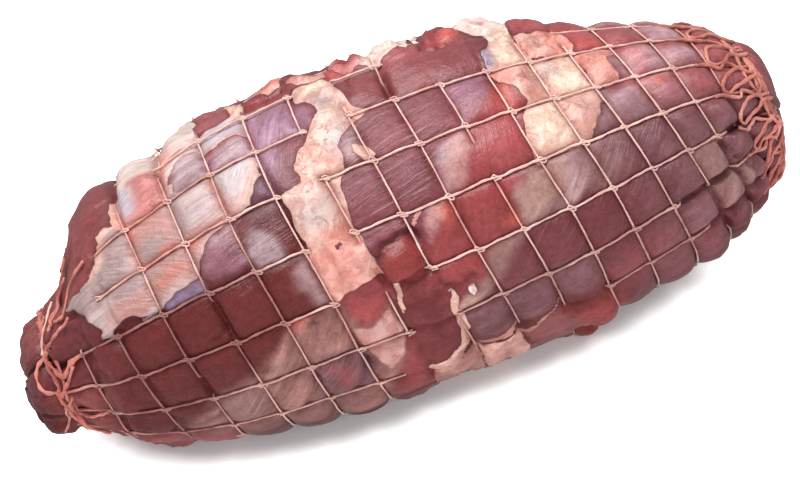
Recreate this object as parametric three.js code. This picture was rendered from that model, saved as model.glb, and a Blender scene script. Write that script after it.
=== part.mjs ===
// A raw boned and rolled shoulder of boar, held in a knitted elastic net.
// Millimetres, X along the roll, -Y towards the viewer, Z up, resting on Z = 0.
import * as THREE from 'three';

// Form of the roll, measured at the level of the net's cords
const LEFT_END = -139.5;
const RIGHT_END = 138.5;
const RADIUS_PROFILE = [
  [-127, 22.5], [-114, 31.5], [-102, 41], [-77, 49], [-47, 55.2], [-7, 56.4],
  [33, 55.4], [63, 51.3], [88, 45], [105, 40], [119, 34], [132, 24.5],
];
const MAX_RADIUS = 56.4;

// Broad bulges and hollows of the roll: [place along it, strand, reach along, reach in strands, height]
const BULGES = [
  [-92, 0, 16, 1.6, 5.5], [-61.5, -0.3, 25, 1.5, 2.5], [-10.5, -0.3, 20, 1.5, 2], [27, -0.3, 30, 1.5, 3.5],
  [-110, 0.8, 16, 2.4, -7.5], [134, 8, 18, 3, -6],
  [-19, 8, 20, 1.4, 1.5], [25, 8, 26, 1.4, -2.2], [88, 7.6, 26, 1.4, 1.5],
];

// How the soft roll lies: its axis sags towards both ends and its underside is pressed flat
const AXIS_HEIGHT = 52;
const SAG_MIDDLE = -7;
const SAG_REACH = 110;
const LEFT_SAG = 14;
const RIGHT_SAG = 1.5;
const REST_LEVEL = 1.3;

// The net: strands run along the roll and hoops go round it
const STRANDS = 18;
const STRAND_STEP = 360 / STRANDS;
const FRONT_STRAND = 4;
const FRONT_ANGLE = 40.6;
const STRAND_TWIST = 0.055;
const LEFT_TURN = 2;
const RIGHT_TURN = 7;
const TURN_REACH = 110;
const HOOP_PLACES = [
  -127, -112, -96, -78.5, -61.5, -44.5, -27.5, -10.5, 6,
  22, 38, 54, 69, 83.5, 97, 109, 120.5, 132,
];
const HOOP_LEAN = 11.2;
const LEAN_GROWTH = 0.026;
const LEAN_FADE = 1.3;

// Cords, and the gathered rings that draw the net in at both ends
const CORD = { alongStrand: 1.1, alongHoop: 0.9, thickness: 1.6, clearance: 1 };
const RING = { alongStrand: 1.3, alongHoop: 2.2, thickness: 3.2, clearance: 1.6 };
const CORD_FOOT = 0.5;

// The meat swells out between the cords, a little differently in each mesh
const STEPS_PER_MESH = 3;
const PILLOW_RATIO = 0.28;
const PILLOW_SHARPNESS = 0.6;
const PILLOW_SPREAD = 0.4;
const CAP_ANGLES = [24, 48, 70];
const CAP_SWELL = [1.5, 1.5, 0.5];

// Meshes where the meat stands out more: [hoop, strand, extra height]
const LUMPS = [
  [10, 7, 4], [11, 7, 3.5], [7, 4, 1.6], [1, 2, 1.8], [2, 2, 1.8], [1, 3, 2], [0, 5, 2], [0, 4, 1.5],
  [14, 5, 1.8], [15, 5, 1.8], [15, 4, 1.5], [4, 0, 1.5], [6, 0, 2], [9, 0, 2], [12, 0, 1.5],
  [5, 12, 2], [9, 14, 2], [12, 12, 1.6], [3, 15, 1.8],
];

const radians = THREE.MathUtils.degToRad;
const lerp = THREE.MathUtils.lerp;

// Slope of the radius profile at one of its stations
function profileSlope(index) {
  const before = RADIUS_PROFILE[Math.max(index - 1, 0)];
  const after = RADIUS_PROFILE[Math.min(index + 1, RADIUS_PROFILE.length - 1)];
  return (after[1] - before[1]) / (after[0] - before[0]);
}

// Radius of the roll at x: a smooth curve between the end rings and a half ellipse beyond each
function radiusAt(x) {
  const [leftX, leftRadius] = RADIUS_PROFILE[0];
  const [rightX, rightRadius] = RADIUS_PROFILE[RADIUS_PROFILE.length - 1];
  if (x < leftX) return capRadius(leftRadius, leftX - x, leftX - LEFT_END);
  if (x >= rightX) return capRadius(rightRadius, x - rightX, RIGHT_END - rightX);
  const index = RADIUS_PROFILE.findIndex(([place]) => place > x) - 1;
  const [startX, startRadius] = RADIUS_PROFILE[index];
  const [endX, endRadius] = RADIUS_PROFILE[index + 1];
  const width = endX - startX;
  const t = (x - startX) / width;
  const startWeight = (1 + 2 * t) * (1 - t) ** 2;
  const startTangent = t * (1 - t) ** 2 * width * profileSlope(index);
  const endTangent = t ** 2 * (t - 1) * width * profileSlope(index + 1);
  return startWeight * startRadius + (1 - startWeight) * endRadius + startTangent + endTangent;
}

function capRadius(ringRadius, beyond, depth) {
  return ringRadius * Math.sqrt(Math.max(1 - (beyond / depth) ** 2, 0));
}

function axisHeightAt(x) {
  const sag = x < SAG_MIDDLE ? LEFT_SAG : RIGHT_SAG;
  return AXIS_HEIGHT - sag * ((x - SAG_MIDDLE) / SAG_REACH) ** 2;
}

// Angle about the axis of the strand at the front, measured up from -Y; both ends are turned a little
function frontAngleAt(x) {
  const turn = x < 0 ? LEFT_TURN : RIGHT_TURN;
  return FRONT_ANGLE + STRAND_TWIST * x + turn * (x / TURN_REACH) ** 2;
}

// Extra radius from the bulges at a place and strand number
function bulgeAt(place, strand) {
  return BULGES.reduce((sum, [middle, line, reach, spread, height]) => {
    const turns = (strand - line) / STRANDS;
    const across = (turns - Math.round(turns)) * STRANDS;
    return sum + height * Math.exp(-(((place - middle) / reach) ** 2) - (across / spread) ** 2);
  }, 0);
}

// Point at cord level, on the leaning ring that crosses the axis at place, at a strand number
function skinPoint(place, strand) {
  const around = radians(STRAND_STEP * (strand - FRONT_STRAND));
  const fade = Math.min(1, (LEAN_FADE * radiusAt(place) / MAX_RADIUS) ** 2);
  const x = place + (HOOP_LEAN + LEAN_GROWTH * place) * fade * Math.sin(around);
  const angle = radians(frontAngleAt(x)) - around;
  const taper = Math.min(radiusAt(place) / RADIUS_PROFILE[0][1], 1);
  const radius = radiusAt(x) + taper * bulgeAt(place, strand);
  const z = axisHeightAt(x) + radius * Math.sin(angle);
  return new THREE.Vector3(x, -radius * Math.cos(angle), Math.max(z, REST_LEVEL));
}

// Point, outward normal and the two directions along the cords at a crossing
function skinFrame(place, strand) {
  const reach = 2;
  const turn = 0.2;
  const along = skinPoint(place + reach, strand).sub(skinPoint(place - reach, strand)).normalize();
  const round = skinPoint(place, strand + turn).sub(skinPoint(place, strand - turn)).normalize();
  const normal = new THREE.Vector3().crossVectors(round, along).normalize();
  return { point: skinPoint(place, strand), normal, along, round };
}

const crossings = HOOP_PLACES.map((place) =>
  Array.from({ length: STRANDS }, (_, strand) => skinFrame(place, strand)));
const lastHoop = HOOP_PLACES.length - 1;

function isRing(hoop) {
  return hoop === 0 || hoop === lastHoop;
}

function grooveDepth(hoop) {
  const cord = isRing(hoop) ? RING : CORD;
  return cord.thickness / 2 + cord.clearance;
}

// A steady value from 0 to 1 for each mesh of the net
function meshChance(hoop, strand) {
  const wave = Math.sin(hoop * 12.99 + strand * 78.23) * 437.58;
  return wave - Math.floor(wave);
}

// Height of the swelling in one mesh, from its size, its chance and any lump
function pillowHeight(hoop, strand) {
  const corner = crossings[hoop][strand].point;
  const length = corner.distanceTo(crossings[hoop + 1][strand].point);
  const width = corner.distanceTo(crossings[hoop][(strand + 1) % STRANDS].point);
  const lump = LUMPS.find(([h, s]) => h === hoop && s === strand);
  const spread = 1 + PILLOW_SPREAD * (meshChance(hoop, strand) - 0.5);
  return PILLOW_RATIO * Math.min(length, width) * spread + (lump ? lump[2] : 0);
}

// Blend of the four corners of a mesh of the net
function meshBlend(hoop, strand, u, v, key) {
  const next = (strand + 1) % STRANDS;
  const start = crossings[hoop][strand][key].clone().lerp(crossings[hoop][next][key], v);
  const end = crossings[hoop + 1][strand][key].clone().lerp(crossings[hoop + 1][next][key], v);
  return start.lerp(end, u);
}

// Point of the meat in a mesh: on the floor of the groove at its edges and swollen in the middle
function meatPoint(hoop, strand, u, v) {
  const normal = meshBlend(hoop, strand, u, v, 'normal').normalize();
  const swell = (Math.sin(Math.PI * u) * Math.sin(Math.PI * v)) ** PILLOW_SHARPNESS;
  const groove = lerp(grooveDepth(hoop), grooveDepth(hoop + 1), u);
  const offset = swell * pillowHeight(hoop, strand) - groove;
  return onTable(meshBlend(hoop, strand, u, v, 'point').addScaledVector(normal, offset));
}

function onTable(point) {
  point.z = Math.max(point.z, 0);
  return point;
}

const COLUMNS = STRANDS * STEPS_PER_MESH;

// One ring of meat points between two hoops
function meatRow(hoop, u) {
  return Array.from({ length: COLUMNS }, (_, column) => {
    const strand = Math.floor(column / STEPS_PER_MESH);
    return meatPoint(hoop, strand, u, column / STEPS_PER_MESH - strand);
  });
}

// Rings of meat that bulge out through an end of the net, from the ring to the tip
function capRows(side) {
  const place = side < 0 ? HOOP_PLACES[0] : HOOP_PLACES[lastHoop];
  const depth = side < 0 ? place - LEFT_END : RIGHT_END - place;
  return CAP_ANGLES.map((angle, index) =>
    Array.from({ length: COLUMNS }, (_, column) => {
      const strand = column / STEPS_PER_MESH;
      const { point, normal } = skinFrame(place + side * depth * Math.sin(radians(angle)), strand);
      const unevenness = 0.5 + meshChance(index, Math.floor(strand / 3));
      return onTable(point.addScaledVector(normal, CAP_SWELL[index] * unevenness));
    }));
}

// Collects shared vertices and triangles for one closed surface
class Surface {
  positions = [];
  triangles = [];

  vertex(point) {
    return this.positions.push(point.x, point.y, point.z) / 3 - 1;
  }

  quad(a, b, c, d) {
    this.triangles.push(a, b, c, a, c, d);
  }

  geometry() {
    const geometry = new THREE.BufferGeometry();
    geometry.setAttribute('position', new THREE.Float32BufferAttribute(this.positions, 3));
    geometry.setIndex(this.triangles);
    geometry.computeVertexNormals();
    return geometry;
  }
}

function meatGeometry() {
  const rows = capRows(-1).reverse();
  for (let hoop = 0; hoop < lastHoop; hoop += 1) {
    for (let step = 0; step < STEPS_PER_MESH; step += 1) rows.push(meatRow(hoop, step / STEPS_PER_MESH));
  }
  rows.push(meatRow(lastHoop - 1, 1), ...capRows(1));

  const surface = new Surface();
  const ids = rows.map((row) => row.map((point) => surface.vertex(point)));
  for (let row = 0; row < ids.length - 1; row += 1) {
    for (let column = 0; column < COLUMNS; column += 1) {
      const next = (column + 1) % COLUMNS;
      surface.quad(ids[row][column], ids[row][next], ids[row + 1][next], ids[row + 1][column]);
    }
  }
  closeTip(surface, ids[0], -1);
  closeTip(surface, ids[ids.length - 1], 1);
  return surface.geometry();
}

function closeTip(surface, ring, side) {
  const end = side < 0 ? LEFT_END : RIGHT_END;
  const tip = surface.vertex(new THREE.Vector3(end, 0, axisHeightAt(end)));
  for (let column = 0; column < COLUMNS; column += 1) {
    const next = (column + 1) % COLUMNS;
    if (side > 0) surface.triangles.push(ring[column], ring[next], tip);
    else surface.triangles.push(ring[next], ring[column], tip);
  }
}

// The eight corners of the knot where a strand crosses a hoop; the foot is narrower than the top
function knotCorners(surface, hoop, strand) {
  const { point, normal, along, round } = crossings[hoop][strand];
  const cord = isRing(hoop) ? RING : CORD;
  const corner = (alongSign, roundSign, level) => {
    const spread = level > 0 ? 1 : CORD_FOOT;
    return surface.vertex(point.clone()
      .addScaledVector(normal, level * cord.thickness / 2)
      .addScaledVector(along, alongSign * spread * cord.alongHoop)
      .addScaledVector(round, roundSign * spread * cord.alongStrand));
  };
  const square = (level) => [
    corner(-1, -1, level), corner(-1, 1, level), corner(1, 1, level), corner(1, -1, level),
  ];
  return { top: square(1), foot: square(-1) };
}

// A straight length of cord from one edge of a knot to the facing edge of the next
function cordBetween(surface, from, to, [left, right], [farLeft, farRight]) {
  surface.quad(from.top[left], from.top[right], to.top[farRight], to.top[farLeft]);
  surface.quad(from.foot[right], from.foot[left], to.foot[farLeft], to.foot[farRight]);
  surface.quad(from.foot[left], from.top[left], to.top[farLeft], to.foot[farLeft]);
  surface.quad(from.top[right], from.foot[right], to.foot[farRight], to.top[farRight]);
}

function netGeometry() {
  const surface = new Surface();
  const knots = crossings.map((row, hoop) => row.map((_, strand) => knotCorners(surface, hoop, strand)));
  knots.forEach((row, hoop) => row.forEach((knot, strand) => {
    const [a, b, c, d] = knot.top;
    const [e, f, g, h] = knot.foot;
    surface.quad(a, b, c, d);
    surface.quad(h, g, f, e);
    cordBetween(surface, knot, row[(strand + 1) % STRANDS], [2, 1], [3, 0]);
    if (hoop < lastHoop) cordBetween(surface, knot, knots[hoop + 1][strand], [3, 2], [0, 1]);
    else surface.quad(d, c, g, h);
    if (hoop === 0) surface.quad(b, a, e, f);
  }));
  return surface.geometry();
}

const meatRoll = new THREE.Mesh(
  meatGeometry(),
  new THREE.MeshStandardMaterial({ color: 0x86403f, roughness: 0.4, metalness: 0 }),
);
meatRoll.name = 'meat_roll';

const net = new THREE.Mesh(
  netGeometry(),
  new THREE.MeshStandardMaterial({ color: 0xe3bda9, roughness: 0.7, metalness: 0 }),
);
net.name = 'net';

const roll = new THREE.Group();
roll.name = 'rolled_shoulder';
roll.add(meatRoll, net);

export default roll;
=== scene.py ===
import math

import bpy
import numpy as np
from mathutils import Matrix, Vector


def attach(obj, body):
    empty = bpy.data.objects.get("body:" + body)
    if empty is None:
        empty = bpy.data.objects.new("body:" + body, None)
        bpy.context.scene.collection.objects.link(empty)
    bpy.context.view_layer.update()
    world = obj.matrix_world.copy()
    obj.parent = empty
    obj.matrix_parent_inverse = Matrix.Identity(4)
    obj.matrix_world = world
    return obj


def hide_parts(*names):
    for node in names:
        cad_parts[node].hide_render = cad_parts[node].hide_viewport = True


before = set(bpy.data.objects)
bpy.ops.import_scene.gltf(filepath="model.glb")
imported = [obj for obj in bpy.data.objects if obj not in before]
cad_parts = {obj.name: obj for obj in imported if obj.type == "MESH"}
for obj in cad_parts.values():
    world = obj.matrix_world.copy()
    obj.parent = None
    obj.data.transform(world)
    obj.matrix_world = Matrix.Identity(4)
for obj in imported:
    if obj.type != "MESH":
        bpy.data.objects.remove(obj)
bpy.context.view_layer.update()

# Lengths are in millimetres, but in metres for the finish, the lights and the camera. Angles are in degrees
MM = 0.001
TINY = 1e-9
FAR = 1e6

# Form of the roll at the level of the cords, as the solids have it
LEFT_END = -139.5
RIGHT_END = 138.5
PROFILE_PLACES = np.array([-127, -114, -102, -77, -47, -7, 33, 63, 88, 105, 119, 132.0])
PROFILE_RADII = np.array([22.5, 31.5, 41, 49, 55.2, 56.4, 55.4, 51.3, 45, 40, 34, 24.5])
MAX_RADIUS = 56.4
AXIS_HEIGHT = 52.0
SAG_MIDDLE = -7.0
SAG_REACH = 110.0
LEFT_SAG = 14.0
RIGHT_SAG = 1.5
REST_LEVEL = 1.3

# Broad bulges and hollows: place along the roll, strand, reach along, reach in strands, height
BULGES = [
    (-92, 0, 16, 1.6, 5.5), (-61.5, -0.3, 25, 1.5, 2.5), (-10.5, -0.3, 20, 1.5, 2),
    (27, -0.3, 30, 1.5, 3.5), (-110, 0.8, 16, 2.4, -7.5), (134, 8, 18, 3, -6), (-19, 8, 20, 1.4, 1.5),
    (25, 8, 26, 1.4, -2.2), (88, 7.6, 26, 1.4, 1.5),
]

# The net, in the numbering that all places below use: hoops along the roll, strands round it
STRANDS = 18
STRAND_STEP = 360 / STRANDS
FRONT_STRAND = 4
FRONT_ANGLE = 40.6
STRAND_TWIST = 0.055
LEFT_TURN = 2.0
RIGHT_TURN = 7.0
TURN_REACH = 110.0
HOOP_PLACES = np.array([
    -127, -112, -96, -78.5, -61.5, -44.5, -27.5, -10.5, 6,
    22, 38, 54, 69, 83.5, 97, 109, 120.5, 132])
LAST_HOOP = len(HOOP_PLACES) - 1
HOOP_LEAN = 11.2
LEAN_GROWTH = 0.026
LEAN_FADE = 1.3
MESH_LENGTH = 16.0
MESH_WIDTH = 18.5

# Fineness of the meat's grid
ROWS_PER_MESH = 14
COLUMNS_PER_MESH = 20
CAP_ROWS = 17
CAP_START = 0.4
CROWDING = 0.35

random = np.random.default_rng(11)


# Form of the roll

def radius_at(x):
    places, radii = PROFILE_PLACES, PROFILE_RADII
    last = len(places) - 1
    before = np.maximum(np.arange(last + 1) - 1, 0)
    after = np.minimum(np.arange(last + 1) + 1, last)
    slopes = (radii[after] - radii[before]) / (places[after] - places[before])
    i = np.clip(np.searchsorted(places, x, side="right") - 1, 0, last - 1)
    width = places[i + 1] - places[i]
    t = (x - places[i]) / width
    start = (1 + 2 * t) * (1 - t) ** 2
    middle = start * radii[i] + (1 - start) * radii[i + 1]
    middle = middle + t * (1 - t) ** 2 * width * slopes[i] + t ** 2 * (t - 1) * width * slopes[i + 1]
    left = radii[0] * np.sqrt(np.maximum(1 - ((places[0] - x) / (places[0] - LEFT_END)) ** 2, 0))
    right = radii[-1] * np.sqrt(np.maximum(1 - ((x - places[-1]) / (RIGHT_END - places[-1])) ** 2, 0))
    return np.where(x < places[0], left, np.where(x >= places[-1], right, middle))


def hoop_place(hoop):
    inside = np.interp(hoop, np.arange(LAST_HOOP + 1), HOOP_PLACES)
    left = np.minimum(hoop, 0) * (HOOP_PLACES[0] - LEFT_END)
    right = np.maximum(hoop - LAST_HOOP, 0) * (RIGHT_END - HOOP_PLACES[-1])
    return inside + left + right


def axis_height_at(x):
    sag = np.where(x < SAG_MIDDLE, LEFT_SAG, RIGHT_SAG)
    return AXIS_HEIGHT - sag * ((x - SAG_MIDDLE) / SAG_REACH) ** 2


def strands_from(strand, line):
    """Signed distance round the roll, in strands, by the shorter way."""
    return np.mod(strand - line + STRANDS / 2, STRANDS) - STRANDS / 2


def bulge_at(place, strand):
    total = 0.0
    for middle, line, reach, spread, height in BULGES:
        across = strands_from(strand, line)
        total = total + height * np.exp(-((place - middle) / reach) ** 2 - (across / spread) ** 2)
    return total


def skin_point(hoop, strand):
    place = hoop_place(hoop)
    around = np.radians(STRAND_STEP * (strand - FRONT_STRAND))
    fade = np.minimum(1, (LEAN_FADE * radius_at(place) / MAX_RADIUS) ** 2)
    x = place + (HOOP_LEAN + LEAN_GROWTH * place) * fade * np.sin(around)
    turn = np.where(x < 0, LEFT_TURN, RIGHT_TURN) * (x / TURN_REACH) ** 2
    angle = np.radians(FRONT_ANGLE + STRAND_TWIST * x + turn) - around
    taper = np.minimum(radius_at(place) / PROFILE_RADII[0], 1)
    radius = radius_at(x) + taper * bulge_at(place, strand)
    z = np.maximum(axis_height_at(x) + radius * np.sin(angle), REST_LEVEL)
    return np.stack([x, -radius * np.cos(angle), z], -1)


# Steady noise

CELL_PRIMES = (73856093, 19349663, 83492791)
SEED_PRIME = 2654435
MIX_PRIME = 1274126177
FRACTAL_LAYERS = 3
FRACTAL_RANGE = 1.3


def lattice_value(cell, seed):
    """Steady value from 0 to 1 for each corner of the noise's lattice."""
    mixed = seed * SEED_PRIME
    for axis, prime in enumerate(CELL_PRIMES):
        mixed = mixed ^ cell[..., axis] * prime
    mixed = (mixed ^ (mixed >> 13)) * MIX_PRIME
    mixed = mixed ^ (mixed >> 16)
    return (mixed & 0xFFFF) / 0xFFFF


def noise(points, size, seed):
    """Smooth noise from -1 to 1 whose bumps are about size millimetres wide."""
    scaled = points / size
    cell = np.floor(scaled).astype(np.int64)
    part = scaled - cell
    part = part * part * (3 - 2 * part)
    total = 0.0
    for corner in np.ndindex(2, 2, 2):
        corner = np.array(corner)
        weight = np.prod(np.where(corner == 1, part, 1 - part), axis=-1)
        total = total + weight * lattice_value(cell + corner, seed)
    return 2 * total - 1


def fractal(points, size, seed):
    """Noise with finer layers on it, each half as wide and half as strong as the one before."""
    layers = [noise(points, size / 2 ** k, seed + k) / 2 ** k for k in range(FRACTAL_LAYERS)]
    return sum(layers) / FRACTAL_RANGE


# Grid of the meat in net coordinates

def crowded(count):
    """Steps across one mesh, closer together beside the cords."""
    t = np.arange(count) / count
    return t - CROWDING * np.sin(2 * np.pi * t) / (2 * np.pi)


def grid_lines():
    cap = np.sin(np.radians(90 * (np.arange(CAP_ROWS) + CAP_START) / CAP_ROWS))
    gaps = [hoop + crowded(ROWS_PER_MESH) for hoop in range(LAST_HOOP)]
    rows = np.concatenate([-cap[::-1], *gaps, [LAST_HOOP], LAST_HOOP + cap])
    columns = np.concatenate([strand + crowded(COLUMNS_PER_MESH) for strand in range(STRANDS)])
    return rows, columns


ROW_HOOPS, COLUMN_STRANDS = grid_lines()
HOOP_GRID, STRAND_GRID = np.meshgrid(ROW_HOOPS, COLUMN_STRANDS, indexing="ij")
SKIN = skin_point(HOOP_GRID, STRAND_GRID)


def grid_normals(points):
    along = np.gradient(points, axis=0)
    round_ = np.roll(points, -1, axis=1) - np.roll(points, 1, axis=1)
    normals = np.cross(round_, along)
    return normals / np.maximum(np.linalg.norm(normals, axis=-1, keepdims=True), TINY)


SKIN_NORMALS = grid_normals(SKIN)


def layered(layers):
    """Noise over the meat from layers of height, size and seed."""
    return sum(height * noise(SKIN, size, seed) for height, size, seed in layers)


def folded(layers):
    """The same with sharp valleys and round tops."""
    return sum(height * np.abs(noise(SKIN, size, seed)) for height, size, seed in layers)


def sample(values, hoop, strand):
    """Value of a grid field at any place on the net."""
    row = np.interp(hoop, ROW_HOOPS, np.arange(len(ROW_HOOPS)))
    edges = np.append(COLUMN_STRANDS, STRANDS)
    column = np.interp(np.mod(strand, STRANDS), edges, np.arange(len(edges)))
    r0 = np.minimum(row.astype(int), len(ROW_HOOPS) - 2)
    c0 = column.astype(int) % len(COLUMN_STRANDS)
    c1 = (c0 + 1) % len(COLUMN_STRANDS)
    fr = (row - r0)[..., None]
    fc = (column - np.floor(column))[..., None]
    near = values[r0, c0] * (1 - fc) + values[r0, c1] * fc
    far = values[r0 + 1, c0] * (1 - fc) + values[r0 + 1, c1] * fc
    return near * (1 - fr) + far * fr


# Colours, as they look in the studio light, which is bright enough to burn out the floor
EXPOSURE = 1.5


def srgb(red, green, blue):
    value = np.array([red, green, blue]) / 255
    return np.where(value <= 0.04045, value / 12.92, ((value + 0.055) / 1.055) ** 2.4) / EXPOSURE


TINTS = {
    # Muscle
    "mauve": srgb(116, 60, 66),
    "brown": srgb(102, 42, 42),
    "wine": srgb(112, 50, 54),
    "end_red": srgb(138, 72, 72),
    "purple_lean": srgb(134, 76, 84),
    "rosy": srgb(142, 76, 80),
    "pale_rose": srgb(162, 92, 95),
    "rose_red": srgb(174, 88, 92),
    "salmon_red": srgb(186, 90, 90),
    "red": srgb(150, 68, 70),
    "bright": srgb(156, 74, 72),
    "ball_red": srgb(140, 58, 55),
    "dark": srgb(90, 38, 42),
    # Film
    "lavender": srgb(188, 162, 168),
    "violet": srgb(172, 132, 154),
    "lilac": srgb(154, 104, 120),
    "plum": srgb(112, 72, 92),
    "slate": srgb(148, 128, 156),
    "blue_grey": srgb(200, 188, 200),
    "mauve_film": srgb(188, 150, 158),
    "rose_film": srgb(196, 128, 132),
    "pink_film": srgb(194, 144, 138),
    "grey_pink": srgb(176, 142, 145),
    "beige": srgb(162, 114, 107),
    "grey_beige": srgb(150, 112, 108),
    "pale_beige": srgb(176, 138, 128),
    "dusk": srgb(122, 81, 87),
    # Fat
    "white": srgb(228, 206, 198),
    # White fat of the crest, painted brighter as painted light on the top of the roll
    "bright_white": srgb(248, 226, 217),
    "grey_white": srgb(200, 176, 171),
    "pearl": srgb(202, 180, 178),
    "ash": srgb(172, 148, 146),
    "silver": srgb(208, 194, 196),
    "cream": srgb(226, 184, 170),
    "yellow_cream": srgb(238, 210, 190),
    "pink_fat": srgb(224, 156, 144),
    "blush": srgb(206, 130, 126),
    "rim": srgb(184, 136, 126),
    # Stains
    "orange": srgb(214, 102, 80),
    "blood": srgb(164, 58, 58),
}

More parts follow.
